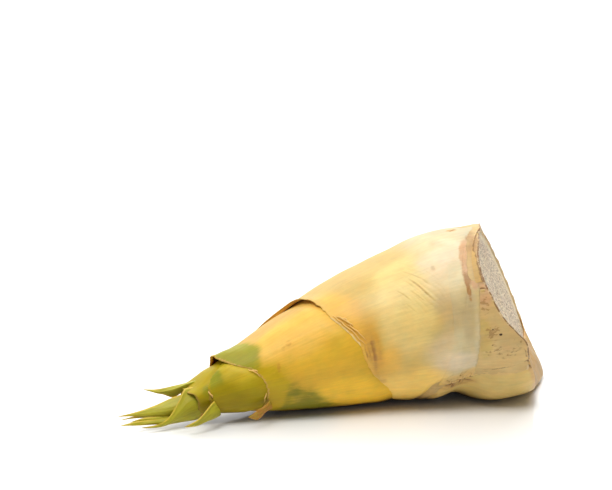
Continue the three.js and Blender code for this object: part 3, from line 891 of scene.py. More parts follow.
@dataclass
class Sheath:
    """A leaf sheath that wraps the shoot like a sleeve."""

    name: str
    layer: int
    slot: Slot
    finish: Finish
    lip: Lip = Lip(((-180, -0.5), (-60, -0.6), (60, -0.6)))
    marks: Marks = Marks()
    jag: float = 0.35  # how uneven the free edge is
    fine: float = 0.75  # degrees between columns on the near side
    row: float = 0.7  # millimetres between rows where it shows
    rib: float = 0.03
    root_sink: float = 0.0
    dried: tuple[float, float] = (-200.0, 200.0)  # degrees between which the free edge has dried pale
    seed: int = 1

    FADE = 8.0  # degrees over which the dried edge fades out
    BENEATH = 8.0  # how far the fine rows go on beneath the next sheath's edge
    INSIDE = 14.0  # how far the fine rows go on inside the sleeve
    HIDDEN_ROWS, LIP_ROWS, INSIDE_ROWS = 8, 6, 16
    CROWDING = 1.15  # how much closer the rows are at the free edge
    ROUND = 0.25  # how far the rounded edge stands out past the edge line

    def shape(self, body: Body, s: Values, angle: Values, back: Values) -> Values:
        """Offset of the sheath's outside, with its lips, ribs and creases."""
        noise = Noise(self.seed)
        offset = body.outside(self.layer, s, angle)
        offset = offset + self.lip.height(angle, back)
        around = (turned(angle) + 180.0) / 360.0
        offset = offset + self.rib * noise(around * 180.0, s / 40.0, 180)
        offset = offset + 0.12 * noise(around * 24.0, s / 9.0 + 50.0, 24) * smoothstep(s, 55.0, 90.0)
        return offset + self.marks.height(body, s, angle)

    def masks(self, body: Body, s: Values, angle: Values, back: Values) -> Masks:
        """The numbers that the finish reads at each point."""
        around, (first, last) = turned(angle), self.dried
        dry = smoothstep(around, first, first + self.FADE)
        dry = dry * (1.0 - smoothstep(around, last - self.FADE, last))
        return {
            **grain_of(s, angle),
            **self.marks.masks(body, s, angle),
            "under": body.under(angle),
            "margin": np.clip(1.0 - back / 2.0, 0.0, 1.0) * dry,
        }

    def rows(self, body: Body, angles: Values) -> tuple[Values, Values, Values]:
        """The rows of the closed sleeve, from the root over the edge and back inside.

        Args:
            body: The shoot's body.
            angles: The columns.

        Returns:
            s, distance back from the edge, and depth into the sheath's thickness, rows by columns.
        """
        edge = body.edge(self.layer, angles)
        jagged = edge + self.jag * Noise(self.seed + 40)((turned(angles) + 180.0) / 3.0, edge * 0.0, 120)
        root = body.root(self.layer, angles)
        inner = self.layer > 1
        shown = np.minimum(body.edge(self.layer - 1, angles) + self.BENEATH, root) if inner else root
        level = np.ones_like(edge)[None]
        steps = max(12, round(float((shown - edge).max()) / self.row))
        part = np.linspace(0.0, 1.0, steps) ** self.CROWDING
        outside = part[:, None] * (shown - jagged)[None]
        if inner:
            hidden = np.linspace(0.0, 1.0, self.HIDDEN_ROWS)[1:, None] * (root - shown)[None]
            outside = np.concatenate([outside, hidden + (shown - jagged)[None]])
        turn = np.radians(np.linspace(0.0, 180.0, self.LIP_ROWS))[1:-1, None]
        lip = -self.ROUND * np.sin(turn) * level
        whole = (root - jagged)[None]
        inside = np.concatenate([np.linspace(0.0, self.INSIDE, self.INSIDE_ROWS)[:, None] * level, whole])
        inside = np.minimum(inside, whole)
        back = np.concatenate([outside[::-1], lip, inside])
        over = 0.5 - 0.5 * np.cos(turn) * level
        depth = np.concatenate([np.zeros_like(outside), over, np.ones_like(inside)])
        return jagged[None] + back, back, depth

    def build(self, body: Body) -> None:
        """Makes the sleeve."""
        angles = around_columns(self.fine, self.fine * 2.2)
        s, back, depth = self.rows(body, angles)
        angle = np.broadcast_to(angles[None], s.shape)
        thickness = body.pitch(s) - body.GAP
        taper = 0.45 + 0.55 * smoothstep(back, 0.0, 6.0)
        from_root = body.root(self.layer, angles)[None] - s
        at_heel = 1.0 - smoothstep(angles, -40.0, -28.0)
        sink = self.root_sink * (1.0 - smoothstep(from_root, 0.0, 7.0)) * at_heel[None]
        offset = self.shape(body, s, angle, np.maximum(back, 0.0)) - sink - depth * thickness * taper
        skin = Skin()
        masks = self.masks(body, s, angle, np.maximum(back, 0.0))
        # inner marks the sleeve's inside and deep its far inside. The ripe and green finishes paint the
        # inside near-black, and the outer one paints the far inside brown: painted shade inside the sleeve.
        masks["inner"] = depth * smoothstep(back, 0.4, 1.6)
        masks["deep"] = depth * smoothstep(back, 3.0, 8.0)
        skin.add_grid(body.point(s, angle, offset), masks, wrap=True)
        skin.build(self.name, self.finish, self.slot, self.name)


# ---- Blades and bud leaves ---------------------------------------------------------------------

Place = tuple[float, float, float]


@dataclass
class Blade:
    """A thin leaf stretched over ribs, each given as its upper margin, middle and lower margin."""

    node: str
    slot: Slot
    ribs: tuple[tuple[Place, Place, Place], ...]
    fold: float = 0.0  # 0 bends round the middle, 1 folds sharply there
    thickness: float = 0.45
    curl: float = 0.0  # how far the upper margin rolls outwards
    wave: float = 0.12
    rust: float = 0.0  # how dry and orange the whole leaf is
    foot: float = 0.0  # and how much only its foot is
    seed: int = 5
    rows: int = 90
    columns: int = 28

    def line(self, which: int, run: Values) -> Values:
        """One of the ribs' three lines, as points at each place along the leaf."""
        places = np.arange(len(self.ribs), dtype=float)
        at = run * places[-1]
        lines = [rib[which] for rib in self.ribs]
        axes = [Curve([(p, point[axis]) for p, point in zip(places, lines)])(at) for axis in range(3)]
        return np.stack(axes, -1)

    def surface(self) -> tuple[Values, Values, Values]:
        """The leaf's middle surface.

        Returns:
            Points rows by columns, and each point's place along the leaf and across it, from 0 to 1.
        """
        run = np.linspace(0.0, 1.0, self.rows)
        across = np.linspace(0.0, 1.0, self.columns)
        upper, middle, lower = (self.line(which, run)[:, None] for which in range(3))
        share = across[None, :, None]
        chord = upper * (1 - share) + lower * share
        centre = (upper + lower) / 2.0
        round_bend = 4.0 * share * (1 - share)
        sharp = 1.0 - np.abs(2.0 * share - 1.0)
        sharp = np.sqrt(sharp**2 + 0.02) - math.sqrt(0.02)
        bend = (1 - self.fold) * round_bend + self.fold * sharp
        points = chord + (middle - centre) * bend
        shape = points.shape[:2]
        return points, np.broadcast_to(run[:, None], shape), np.broadcast_to(across[None], shape)

    def normals(self, points: Values) -> Values:
        """Unit normals of the middle surface, facing outwards from the shoot."""
        along = np.gradient(points, axis=0)
        across = np.gradient(points, axis=1)
        normal = np.cross(along, across)
        length = np.linalg.norm(normal, axis=-1, keepdims=True)
        return normal / np.maximum(length, 1e-6)

    def build(self, finish: Finish) -> None:
        """Makes the leaf as one closed thin skin."""
        points, run, across = self.surface()
        normal = self.normals(points)
        noise = Noise(self.seed)
        width = np.linalg.norm(points[:, :1] - points[:, -1:], axis=-1)
        veins = noise(across * 14.0, run * 3.0) * 0.10 + noise(across * 5.0 + 30.0, run * 6.0) * self.wave
        roll = self.curl * np.exp(-((across * width) / 1.2) ** 2)
        lift = (veins + roll) * np.minimum(1.0, width / 3.0)
        points = points + normal * lift[..., None]
        edge = np.minimum(across, 1.0 - across) * width
        half = 0.5 * self.thickness * (0.35 + 0.65 * smoothstep(edge, 0.0, 0.8))
        half = half * smoothstep(1.02 - run, 0.0, 0.12)
        margin = np.clip(1.0 - edge / 1.4, 0.0, 1.0)
        values = {
            "grain_x": (across - 0.5) * width.max(),
            "grain_y": np.full(run.shape, self.seed * 7.0),
            "grain_z": run * 40.0,
            "margin": margin,
            "tip": run,
            "rust": np.full(run.shape, self.rust),
            "foot": self.foot * (1.0 - smoothstep(run, 0.03, 0.16)),
        }
        front, rear = points + normal * half[..., None], points - normal * half[..., None]
        ring = np.concatenate([front, rear[:, ::-1]], axis=1)
        doubled = {key: np.concatenate([value, value[:, ::-1]], axis=1) for key, value in values.items()}
        doubled["inner"] = np.concatenate([np.zeros_like(run), np.ones_like(run)], axis=1)
        skin = Skin()
        skin.add_grid(ring, doubled, wrap=True)
        skin.build(self.node + "_blade", finish, self.slot, self.node)


# ---- The base ----------------------------------------------------------------------------------

# Where the torn film ends over the base.
TEAR = Curve(
    [(-36, 207), (-24, 206), (0, 205.5), (20, 206), (30, 207), (37, 207.6), (42, 204), (50, 205),
     (60, 207.5), (70, 210.5), (80, 214.5), (92, 222), (98, 224)]
)


BENEATH_SHEATH = 4.0  # how far the rind and the heel start beneath the outer sheath's root


@dataclass
class Base:
    """The bare base of the culm: its rind from the outer sheath's root to the cut, and the cut face."""

    rind: Finish
    flesh: Finish
    marks: Marks = Marks()
    fine: float = 0.75

    RIM = Curve(
        [(-150, 0.4), (-132, -1.2), (-110, -2.4), (-80, -3.4), (-55, -3.0), (-42, -1.5), (-32, 2.4),
         (-22, 6.2), (-12, 9.0), (-5, 10.0), (2, 7.6), (10, 4.4),
         (20, 2.0), (30, 1.1), (42, 0.3), (52, 0.6), (62, 1.8), (72, 3.4), (84, 4.5), (100, 4.2),
         (114, 2.6),
         (130, 1.2), (150, 0.9), (180, 0.8)],
        around=True,
    )

    FILM = (-38.0, 98.0)  # degrees between which the torn film lies over the rind
    RIND_ROWS, ROLL_ROWS, FACE_ROWS = 110, 22, 120
    ROLL_DEPTH = 1.6  # how far the rim rolls inwards
    CRACK_HALF, CRACK_WIDTH, CRACK_DEPTH = 7.0, 0.5, 0.6  # the short crack in the middle of the face
    FACE_INSET = 0.5  # how far inside the profile the face ends
    LOW_INSET = 6.0  # and how much further at the heel

    def rim(self, angles: Values) -> Values:
        """How far the rind's rim stands out past the cut, along the shoot, with its small bumps."""
        bumps = Noise(21)((turned(angles) + 180.0) / 4.0, angles * 0.0, 90)
        return self.RIM(angles) + 0.35 * (0.6 + bumps)

    def build_rind(self, body: Body) -> None:
        """Makes the rind, which rolls over the rim and down onto the cut."""
        angles = around_columns(self.fine, self.fine * 2.0)
        start = body.root(1, angles) - BENEATH_SHEATH
        cut = body.cut_station(angles, np.zeros_like(angles))
        end = cut + self.rim(angles)
        part = np.linspace(0.0, 1.0, self.RIND_ROWS)
        s = start[None] + part[:, None] * (end - start)[None]
        turn = np.linspace(0.0, 1.0, self.ROLL_ROWS)[1:, None]
        height = (end - cut + 1.2)[None]
        over = end[None] + 0.35 * np.sin(turn * math.pi) * (1.0 - turn) - height * turn**1.7
        inwards = self.ROLL_DEPTH + 1.1 * np.maximum(0.0, end - cut - 1.0)[None]
        drop = np.concatenate([np.zeros_like(s), inwards * turn])
        s = np.concatenate([s, over])
        angle = np.broadcast_to(angles[None], s.shape)
        film = (turned(angles) > self.FILM[0]) & (turned(angles) < self.FILM[1])
        torn = np.where(film, np.maximum(TEAR(turned(angles)), start + 4.0), start + 4.0)
        covered = 1.0 - smoothstep(s - torn[None], -3.0, -0.5)
        stump = smoothstep(angle, -156.0, -146.0) * smoothstep(Heel.MARGIN(s) - angle, 4.0, 16.0)
        offset = -drop - 1.0 * covered - 4.5 * stump * smoothstep(s - cut[None], -28.0, -14.0)
        noise = Noise(31)
        around = turned(angle) + 180.0
        bare = smoothstep(s - torn[None], 0.0, 4.0)
        bumps = 0.22 * noise(around / 5.0, s / 4.0, 72) + 0.10 * noise(around / 1.5, s / 1.8 + 9.0, 240)
        offset = offset + bare * bumps
        offset = offset + self.marks.height(body, s, angle)
        masks: Masks = {
            **grain_of(s, angle),
            **self.marks.masks(body, s, angle),
            "under": body.under(angle),
            "rimward": np.maximum(smoothstep(s - end[None], -2.2, 0.0), 1.2 * smoothstep(drop, 0.1, 0.5)),
            "edge": smoothstep(s - end[None], -1.3, -0.5)
            * (1.0 - smoothstep(drop, 0.0, 0.5))
            * (1.0 - smoothstep(np.abs(turned(angles - 46.0)), 58.0, 72.0))[None],
        }
        skin = Skin()
        skin.add_grid(body.point(s, angle, offset), masks, wrap=True)
        skin.build("culm_rind", self.rind, Slot.CUT_FLESH, "culm")

    def build_face(self, body: Body) -> None:
        """Makes the knife-cut face, a little uneven."""
        angles = around_columns(self.fine, self.fine * 2.0)
        low = smoothstep(turned(angles), -138.0, -112.0) * (1.0 - smoothstep(turned(angles), -40.0, -22.0))
        inset = -self.FACE_INSET - self.LOW_INSET * low
        rim = body.point(body.cut_station(angles, inset), angles, inset)
        centre = rim.mean(axis=0)
        centre = centre - (centre @ body.CUT_NORMAL - body.CUT_DISTANCE) * body.CUT_NORMAL
        part = np.linspace(0.0, 1.0, self.FACE_ROWS)[:, None, None] ** 0.8
        points = centre + part * (rim[None] - centre)
        noise = Noise(33)
        across, up = points[..., 1] + 60.0, points[..., 2] + 20.0
        uneven = 0.35 * noise(across / 11.0, up / 11.0) + 0.14 * noise(across / 2.2, up / 2.2)
        inner_rim = 0.965 - 0.10 * smoothstep(np.abs(turned(angles - 135.0)), 95.0, 60.0)
        along = (points[..., 1] - centre[1] + 2.0) * 0.8 + (points[..., 2] - centre[2] - 2.0) * 0.6
        beside = (points[..., 2] - centre[2] - 2.0) * 0.8 - (points[..., 1] - centre[1] + 2.0) * 0.6
        beside = beside + 0.9 * noise(along / 3.0 + 40.0, along * 0.0)
        crack = np.exp(-((along / self.CRACK_HALF) ** 4) - (beside / self.CRACK_WIDTH) ** 2)
        relief = (uneven - self.CRACK_DEPTH * crack)[..., None]
        points = points + relief * body.CUT_NORMAL * (1.0 - 0.7 * part)
        hollow = smoothstep(part[..., 0], 0.7, 0.95) * low[None]
        points = points - 3.0 * hollow[..., None] * body.CUT_NORMAL
        shape = points.shape[:2]
        masks: Masks = {
            "grain_x": points[..., 1],
            "grain_y": points[..., 2],
            "cut": 1.0 - smoothstep(np.broadcast_to(part[..., 0], shape) - inner_rim[None], -0.03, 0.02),
            "rimward": smoothstep(np.broadcast_to(part[..., 0], shape) - inner_rim[None], -0.04, 0.02),
            "crack": crack,
        }
        skin = Skin()
        skin.add_grid(points, masks, wrap=True)
        skin.build("cut_face", self.flesh, Slot.CUT_FLESH, "culm")


@dataclass
class Heel:
    """The plump stump of the lowest sheath under the base."""

    finish: Finish
    marks: Marks = Marks()
    first: float = -162.0

    MARGIN = Curve(
        [
            (180, -42), (187, -38), (193, -34), (200, -29), (208, -28), (222, -27), (230, -24),
            (236, -19), (245, -15),
        ]
    )
    OVER = Curve(
        [(-165, -2.0), (-145, 0.0), (-135, 1.4), (-125, 2.8), (-115, 4.0), (-105, 4.0), (-95, 2.0),
         (-85, 0.0),
         (-75, -1.0), (-65, 0.0), (-55, 2.0), (-45, 4.0), (-34, 6.4), (-26, 7.2), (-18, 7.6)]
    )  # how far the rounded end stands out past the cut
    ROUND = Curve([(-120, 1.0), (-100, 2.4), (-80, 4.4), (-65, 4.4), (-50, 3.2), (-34, 1.6), (-18, 0.8)])
    COLUMNS, ROWS, CAP_ROWS = 230, 110, 44
    PLUMP = 1.1  # how far the stump stands out
    END_ROUND = 15.0  # the length over which its end turns over
    CAP_ENDS = (-139.0, -6.0)  # degrees of the line on the cut where its rounded end dies away
    CAP_UP = np.array([-0.41, 0.2, 0.89])  # up along the cut

    def end(self, body: Body, across: Values) -> tuple[Values, Values]:
        """Where the heel's skin turns over onto the cut.

        Args:
            body: The shoot's body.
            across: Place from the far margin, 0, to the near one, 1.

        Returns:
            s and the angle there.
        """
        angle = self.first + across * (-22.0 - self.first)
        for _ in range(6):
            s = body.cut_station(angle, np.zeros_like(angle)) + self.OVER(angle)
            angle = self.first + across * (self.MARGIN(s) - self.first)
        return s, angle

    def capped(self, values: Values, fill: float) -> Values:
        """The values with the fill below them, one row for each row of the cap."""
        return np.concatenate([values, np.full((self.CAP_ROWS, self.COLUMNS), fill)])

    def build(self, body: Body) -> None:
        """Makes the heel's skin from its upper margin round under the base, and its rounded end."""
        start_angle = np.linspace(self.first, -34.0, self.COLUMNS)
        across = np.linspace(0.0, 1.0, self.COLUMNS)
        start = body.root(1, start_angle) - BENEATH_SHEATH
        end, end_angle = self.end(body, across)
        part = 1.0 - (1.0 - np.linspace(0.0, 1.0, self.ROWS)[:, None]) ** 1.5
        s = start[None] + part * (end - start)[None]
        margin = self.MARGIN(s)
        angle = self.first + across[None] * (margin - self.first)
        below_margin = np.radians(margin - angle) * body.radius(s)
        from_far = np.radians(angle - self.first) * body.radius(s)
        plump = self.PLUMP * smoothstep(below_margin, -0.5, 7.0) * smoothstep(from_far, 0.0, 6.0) - 0.35
        to_end = end[None] - s
        from_start = s - start[None]
        noise = Noise(41)
        corner = 1.0 - np.sqrt(1.0 - np.clip(1.0 - to_end / self.END_ROUND, 0.0, 1.0) ** 2 * 0.98)
        offset = (
            plump
            - self.ROUND(angle) * corner
            - 2.6 * (1.0 - smoothstep(from_start, 0.0, 10.0))
            + 2.6 * np.exp(-(((angle + 56.0) / 18.0) ** 2) - ((s - 224.0) / 14.0) ** 2)
            + 0.3 * noise(angle / 11.0 + 60.0, s / 8.0)
            + 0.08 * noise(angle / 2.5 + 60.0, s / 3.0)
            + self.marks.height(body, s, angle)
        )
        points = body.point(s, angle, offset)
        far, near = (
            body.point(body.cut_station(np.array([place]), np.array([-1.0])), np.array([place]), -1.0)
            for place in self.CAP_ENDS
        )
        inner = far + across[:, None] * (near - far)
        arch = 1.2 * noise(across * 14.0 + 20.0, across * 0.0) + 3.0 * np.sin(math.pi * across)
        inner = inner + self.CAP_UP * arch[:, None]
        inner = inner - ((inner @ body.CUT_NORMAL - body.CUT_DISTANCE)[:, None] + 0.8) * body.CUT_NORMAL
        deep = np.linspace(0.0, 1.0, self.CAP_ROWS + 1)[1:, None, None]
        crumple = noise(across[None] * 30.0 + 10.0, deep[..., 0] * 9.0)
        crumple = crumple + 0.5 * noise(across[None] * 80.0, deep[..., 0] * 22.0)
        swell = 1.8 * np.sin(math.pi * deep[..., 0] ** 0.8) + 0.3 * crumple * np.sin(math.pi * deep[..., 0])
        cap = points[-1][None] * (1.0 - deep) + inner[None] * deep + swell[..., None] * body.CUT_NORMAL
        points = np.concatenate([points, cap])
        shape = points.shape[:2]
        found = self.marks.masks(body, s, angle)
        masks: Masks = {key: self.capped(value, 0.0) for key, value in found.items()}
        cap_angle = np.broadcast_to(end_angle[None], cap.shape[:2])
        masks |= grain_of(points[..., 0], np.concatenate([angle, cap_angle]))
        # Painted shade: the heel's underside is painted dark brown, fading out towards its end.
        masks["under"] = self.capped(body.under(angle) * smoothstep(to_end, 14.0, 24.0), 0.0)
        masks["endward"] = self.capped(smoothstep(to_end, 3.5, 0.0), 1.0)
        masks["seam"] = self.capped(1.0 - smoothstep(below_margin, 0.0, 5.0), 0.0)
        masks["sheathward"] = self.capped(1.0 - smoothstep(from_start, 2.0, 16.0), 0.0)
        # The cap's fold lines are coloured brown, partly real stain and partly painted shade in the folds.
        folds = np.exp(-(((deep[..., 0] - 0.9) / 0.06) ** 2)) + 0.35 * smoothstep(crumple, 0.35, 0.9)
        masks["stain"][self.ROWS :] = np.clip(folds * np.ones(cap.shape[:2]), 0.0, 1.0)
        skin = Skin()
        skin.add_grid(points, {key: np.broadcast_to(value, shape) for key, value in masks.items()})
        skin.build("heel_skin", self.finish, Slot.HEEL_FLESH, "heel")


@dataclass
class Membrane:
    """A papery sheet that clings to the body between a tipward and a baseward line."""

    name: str
    finish: Finish
    first: float  # degrees at its lower end
    last: float
    tipward: Callable[[Values], Values]  # s of its edge at each angle
    baseward: Callable[[Values], Values]
    lift: float = 0.03
    baseward_lift: float = 0.3
    ripple: float = 0.1
    ragged: float = 0.3
    thickness: float = 0.3
    marks: Marks = Marks()
    seed: int = 51
    ROWS = 60

    def build(self, body: Body) -> None:
        """Makes the sheet with ripples and a lifted, ragged baseward edge."""
        angles = np.arange(self.first, self.last, 0.5)
        noise = Noise(self.seed)
        near = self.tipward(angles)
        level = angles * 0.0
        tatters = noise(angles / 2.3 + 90.0, level + 7.0) + 0.5 * noise(angles / 0.9 + 90.0, level + 3.0)
        far = self.baseward(angles) + self.ragged * tatters
        far = np.maximum(far, near + 0.5)
        part = np.linspace(0.0, 1.0, self.ROWS)[:, None]
        s = near[None] + part * (far - near)[None]
        angle = np.broadcast_to(angles[None], s.shape)
        to_edge = far[None] - s
        from_start = s - near[None]
        uneven = noise(angle / 9.0 + 40.0, s / 3.0) + 0.5 * noise(angle / 3.0 + 40.0, s / 1.6)
        offset = (
            self.lift
            + self.baseward_lift * np.clip(1.0 - to_edge / 3.0, 0.0, 1.0) ** 2
            + self.ripple * uneven * smoothstep(from_start, 0.5, 4.0)
            + self.marks.height(body, s, angle)
        )
        masks: Masks = {
            **grain_of(s, angle),
            **self.marks.masks(body, s, angle),
            "margin": np.clip(1.0 - to_edge / 1.3, 0.0, 1.0),
        }
        outer = body.point(s, angle, offset)
        inner = body.point(s, angle, offset - self.thickness)
        ring = np.concatenate([outer, inner[::-1], outer[:1]])
        doubled = {key: np.concatenate([value, value[::-1], value[:1]]) for key, value in masks.items()}
        skin = Skin()
        skin.add_grid(ring, doubled)
        skin.build(self.name, self.finish, Slot.DRY_MARGIN, "torn_margin")


@dataclass
class Fibres:
    """Dry fibres torn from a free edge, each a thin tapering strand through (s, angle, offset)."""

    node: str
    slot: Slot
    strands: tuple[tuple[tuple[float, float, float], ...], ...]
    radius: float = 0.3
    seed: int = 61

    WIDE, THICK = 1.6, 0.6  # a strand is flat: its half width and thickness as shares of the radius

    def build(self, body: Body, finish: Finish) -> None:
        """Makes every strand."""
        skin = Skin()
        turn = np.linspace(0.0, 2.0 * math.pi, 8, endpoint=False)
        noise = Noise(self.seed)
        for number, strand in enumerate(self.strands):
            places = np.arange(len(strand), dtype=float)
            run = np.linspace(0.0, places[-1], 12 * len(strand))
            s, angle, offset = (
                Curve([(p, point[axis]) for p, point in zip(places, strand)])(run) for axis in range(3)
            )
            wobble = noise(run * 2.0 + number * 13.0, run * 0.0)
            centre = body.point(s + 0.3 * wobble, angle, offset + 0.1 * wobble)
            forward = np.gradient(centre, axis=0)
            forward /= np.linalg.norm(forward, axis=-1, keepdims=True)
            side = np.cross(forward, np.array([0.0, -0.5, 0.87]))
            side /= np.linalg.norm(side, axis=-1, keepdims=True)
            up = np.cross(side, forward)
            share = run / places[-1]
            radius = self.radius * (0.25 + 0.75 * np.sin(math.pi * np.clip(share, 0.02, 0.98)) ** 0.5)
            wide = np.cos(turn)[None, :, None] * side[:, None] * self.WIDE
            thick = np.sin(turn)[None, :, None] * up[:, None] * self.THICK
            ring = centre[:, None] + radius[:, None, None] * (wide + thick)
            skin.add_grid(ring, {"grain_z": np.broadcast_to(s[:, None], ring.shape[:2])}, wrap=True)
        skin.build(self.node + "_fibres", finish, self.slot, self.node)


# ---- The studio --------------------------------------------------------------------------------


@dataclass(frozen=True)
class SoftBox:
    """A rectangular studio light aimed at the shoot."""

    name: str
    place: Place
    width: float
    height: float
    power: float

    AIM = (0.0, 0.0, 0.04)  # the middle of the shoot

    def build(self) -> None:
        """Hangs the light."""
        data = bpy.data.lights.new(self.name, "AREA")
        data.shape = "RECTANGLE"
        data.size, data.size_y, data.energy = self.width, self.height, self.power
        lamp = bpy.data.objects.new(self.name, data)
        bpy.context.scene.collection.objects.link(lamp)
        direction = np.array(self.place) - np.array(self.AIM)
        lamp.location = self.place
        lamp.rotation_mode = "QUATERNION"
        lamp.rotation_quaternion = mathutils.Vector(direction).to_track_quat("Z", "Y")


@dataclass
class Studio:
    """The pale seamless floor, the soft lights and the camera."""

    floor_half: float = 6.0
    floor_colour: str = "#f6f6f5"
    floor_roughness: float = 0.1
    world_colour: str = "#ffffff"
    world_strength: float = 0.2
    camera_place: Place = (-0.3419, -0.8338, 0.3536)
    camera_tilt: float = 74.0  # degrees up from straight down
    camera_turn: float = -21.0
    lens_mm: float = 100.0
    sensor_mm: float = 36.0
    lights: tuple[SoftBox, ...] = (
        SoftBox("overhead_box", (-0.3, 0.35, 2.0), 3.4, 3.0, 45.0),
        SoftBox("backdrop_box", (0.5, 3.2, 1.3), 6.0, 2.6, 58.0),
        SoftBox("far_box", (0.6, 1.9, 2.2), 4.5, 1.5, 40.0),
        SoftBox("key_box", (-0.42, -0.45, 1.55), 0.7, 0.7, 15.5),
    )

    def build_floor(self) -> None:
        """Lays an acrylic sheet: cast smooth, so it gives a clean white with a soft, blurred reflection."""
        corners = [(-1, -1), (1, -1), (1, 1), (-1, 1)]
        mesh = bpy.data.meshes.new("floor")
        points = [(x * self.floor_half, y * self.floor_half, 0.0) for x, y in corners]
        mesh.from_pydata(points, [], [(0, 1, 2, 3)])
        material = bpy.data.materials.new("gloss_acrylic_sheet")
        material.use_nodes = True
        tree = material.node_tree
        tree.nodes.clear()
        gloss = {"Base Color": linear(self.floor_colour), "Roughness": self.floor_roughness}
        shader = add_node(tree, "ShaderNodeBsdfPrincipled", {**gloss, "Specular IOR Level": 0.5})
        add_node(tree, "ShaderNodeOutputMaterial", {"Surface": shader.outputs[0]})
        mesh.materials.append(material)
        floor = bpy.data.objects.new("floor", mesh)
        bpy.context.scene.collection.objects.link(floor)

    def build(self) -> None:
        """Sets the floor, the lights, the surrounding light and the camera."""
        scene = bpy.context.scene
        self.build_floor()
        for light in self.lights:
            light.build()
        world = bpy.data.worlds.new("studio")
        world.use_nodes = True
        background = world.node_tree.nodes["Background"]
        background.inputs["Color"].default_value = linear(self.world_colour)
        background.inputs["Strength"].default_value = self.world_strength
        scene.world = world
        scene.view_settings.view_transform = "Standard"
        data = bpy.data.cameras.new("camera")
        data.lens, data.sensor_width = self.lens_mm, self.sensor_mm
        camera = bpy.data.objects.new("camera", data)
        camera.location = self.camera_place
        camera.rotation_euler = (math.radians(self.camera_tilt), 0.0, math.radians(self.camera_turn))
        scene.collection.objects.link(camera)
        scene.camera = camera


# ---- The shoot's finishes ----------------------------------------------------------------------

# The shaded strip that faces the floor, which gives a dark brown underside.
UNDER = Layer("under", "#4a2c0c", 0.05, low=0.1, high=0.9)
# The tints of the outermost leaf, from bleached and cream to gold and brown, with painted bounce light in
# the lemon and painted shade in the creases.
OUTER_LAYERS = (
    Layer("ridge", "#c6a556", 0.05, 16.0),
    Layer("bleached", "#c6b48c", 0.1, 9.0),
    # Painted light in part: a lemon yellow on the lower side, made brighter there for light bounced from the
    # floor.
    Layer("pale", "#e0c276", 0.12, 12.0),
    Layer("gold", "#e4b044", 0.12, 12.0),
    Layer("lemon", "#f6cd68", 0.1, 12.0),
    Layer("orange", "#cf9c3c", 0.2, 8.0),
    Layer("cream", "#d8c08e", 0.12, 12.0),
    Layer("white", "#e6cca6", 0.2, 7.0),
    Layer("grey", "#b89e74", 0.2, 9.0),
    Layer("warm", "#ddb570", 0.2, 5.0),
    Layer("brown", "#b98a40", 0.3, 2.0, low=0.1),
    # Brown in the creases and crumples: partly real stain, partly painted shade in the grooves.
    Layer("stain", "#a06c28", 0.15, 2.0, low=0.1),
)
# Outer bamboo sheath, grown smooth and dried in the air: a waxy cream to gold, with brown creases that are
# partly painted shade.
OUTER_SKIN = Finish(
    name="ripe_bamboo_sheath_outer",
    colour="#d2b05c",
    layers=(
        *OUTER_LAYERS,
        Layer("margin", "#e6c98c", 0.15, 1.5, low=0.55, most=0.8),
        Layer("inner", "#f6d078", 0.05, low=0.4, high=0.9),
        # Painted shade: the far inside of the sleeve is painted brown.
        Layer("deep", "#94602a", 0.1, low=0.2, high=0.9),
        UNDER,
    ),
    vein_colour="#a88a4c",
    vein_strength=0.12,
    vein_bump_mm=0.03,
)
# The margin of a sheath that was torn off: thin and dry, it gives a pinkish, papery skin.
FILM_SKIN = Finish(
    name="torn_sheath_film",
    colour="#cbac70",
    layers=(
        *OUTER_LAYERS,
        Layer("pale_line", "#dccfb4", 0.2, 4.0, most=0.7),
        Layer("pink", "#cf9f72", 0.25, 3.0, low=0.2, high=0.75),
        Layer("margin", "#bf9f6a", 0.35, 2.0, low=0.2, most=0.5),
        Layer("tan", "#a5753c", 0.3, 2.5, low=0.2, high=0.8),
    ),
    vein_colour="#a88a5c",
    vein_strength=0.15,
    vein_bump_mm=0.03,
    roughness=0.42,
    subsurface=0.2,
)
# Ripe bamboo sheath, grown smooth: it gives a satin orange-yellow that turns green to the tip.
RIPE_SKIN = Finish(
    name="ripe_bamboo_sheath",
    colour="#d8ab30",
    layers=(
        Layer("rosy", "#caa04e", 0.12, 10.0),
        Layer("peach", "#e4b44a", 0.15, 9.0),
        Layer("gold", "#f2c338", 0.12, 12.0),
        Layer("lime", "#bb9d0e", 0.25, 5.0),
        Layer("green", "#968f18", 0.3, 4.0, high=0.9),
        # Olive moss colour, laid on thick near the underside as painted shade.
        Layer("moss", "#857e12", 0.28, 5.0, high=1.3),
        Layer("brown", "#b9822c", 0.3, 1.6, low=0.2, most=0.5),
        Layer("stain", "#8f6528", 0.2, 2.0, low=0.2, most=0.9),
        Layer("margin", "#c49a50", 0.25, 1.2, low=0.5, most=0.8),
        # Painted shade: the sleeve's inside is painted near-black, which darkens the gap under the lifted
        # lip.
        Layer("inner", "#3c2408", 0.05, low=0.4, high=0.9),
        UNDER,
    ),
    vein_colour="#a8802c",
    vein_bump_mm=0.03,
    specular=0.25,
)
# Young bamboo sheath, grown in light: it gives a dull olive with close lengthwise veins.
GREEN_SKIN = Finish(
    name="green_bamboo_sheath",
    colour="#a9930e",
    layers=(
        Layer("light", "#c0a628", 0.25, 6.0),
        Layer("green", "#888612", 0.3, 4.0),
        Layer("low", "#998408", 0.2, 6.0),
        Layer("stain", "#6a5014", 0.2, 1.5, low=0.2, most=0.9),
        Layer("margin", "#9c7a30", 0.25, 1.2, low=0.5, most=0.8),
        # Painted shade: the sleeve's inside is painted near-black.
        Layer("inner", "#3a2a0c", 0.05, low=0.4, high=0.9),
        UNDER,
    ),
    vein_colour="#6f6a1c",
    vein_strength=0.22,
    vein_mm=0.8,
    specular=0.15,
)
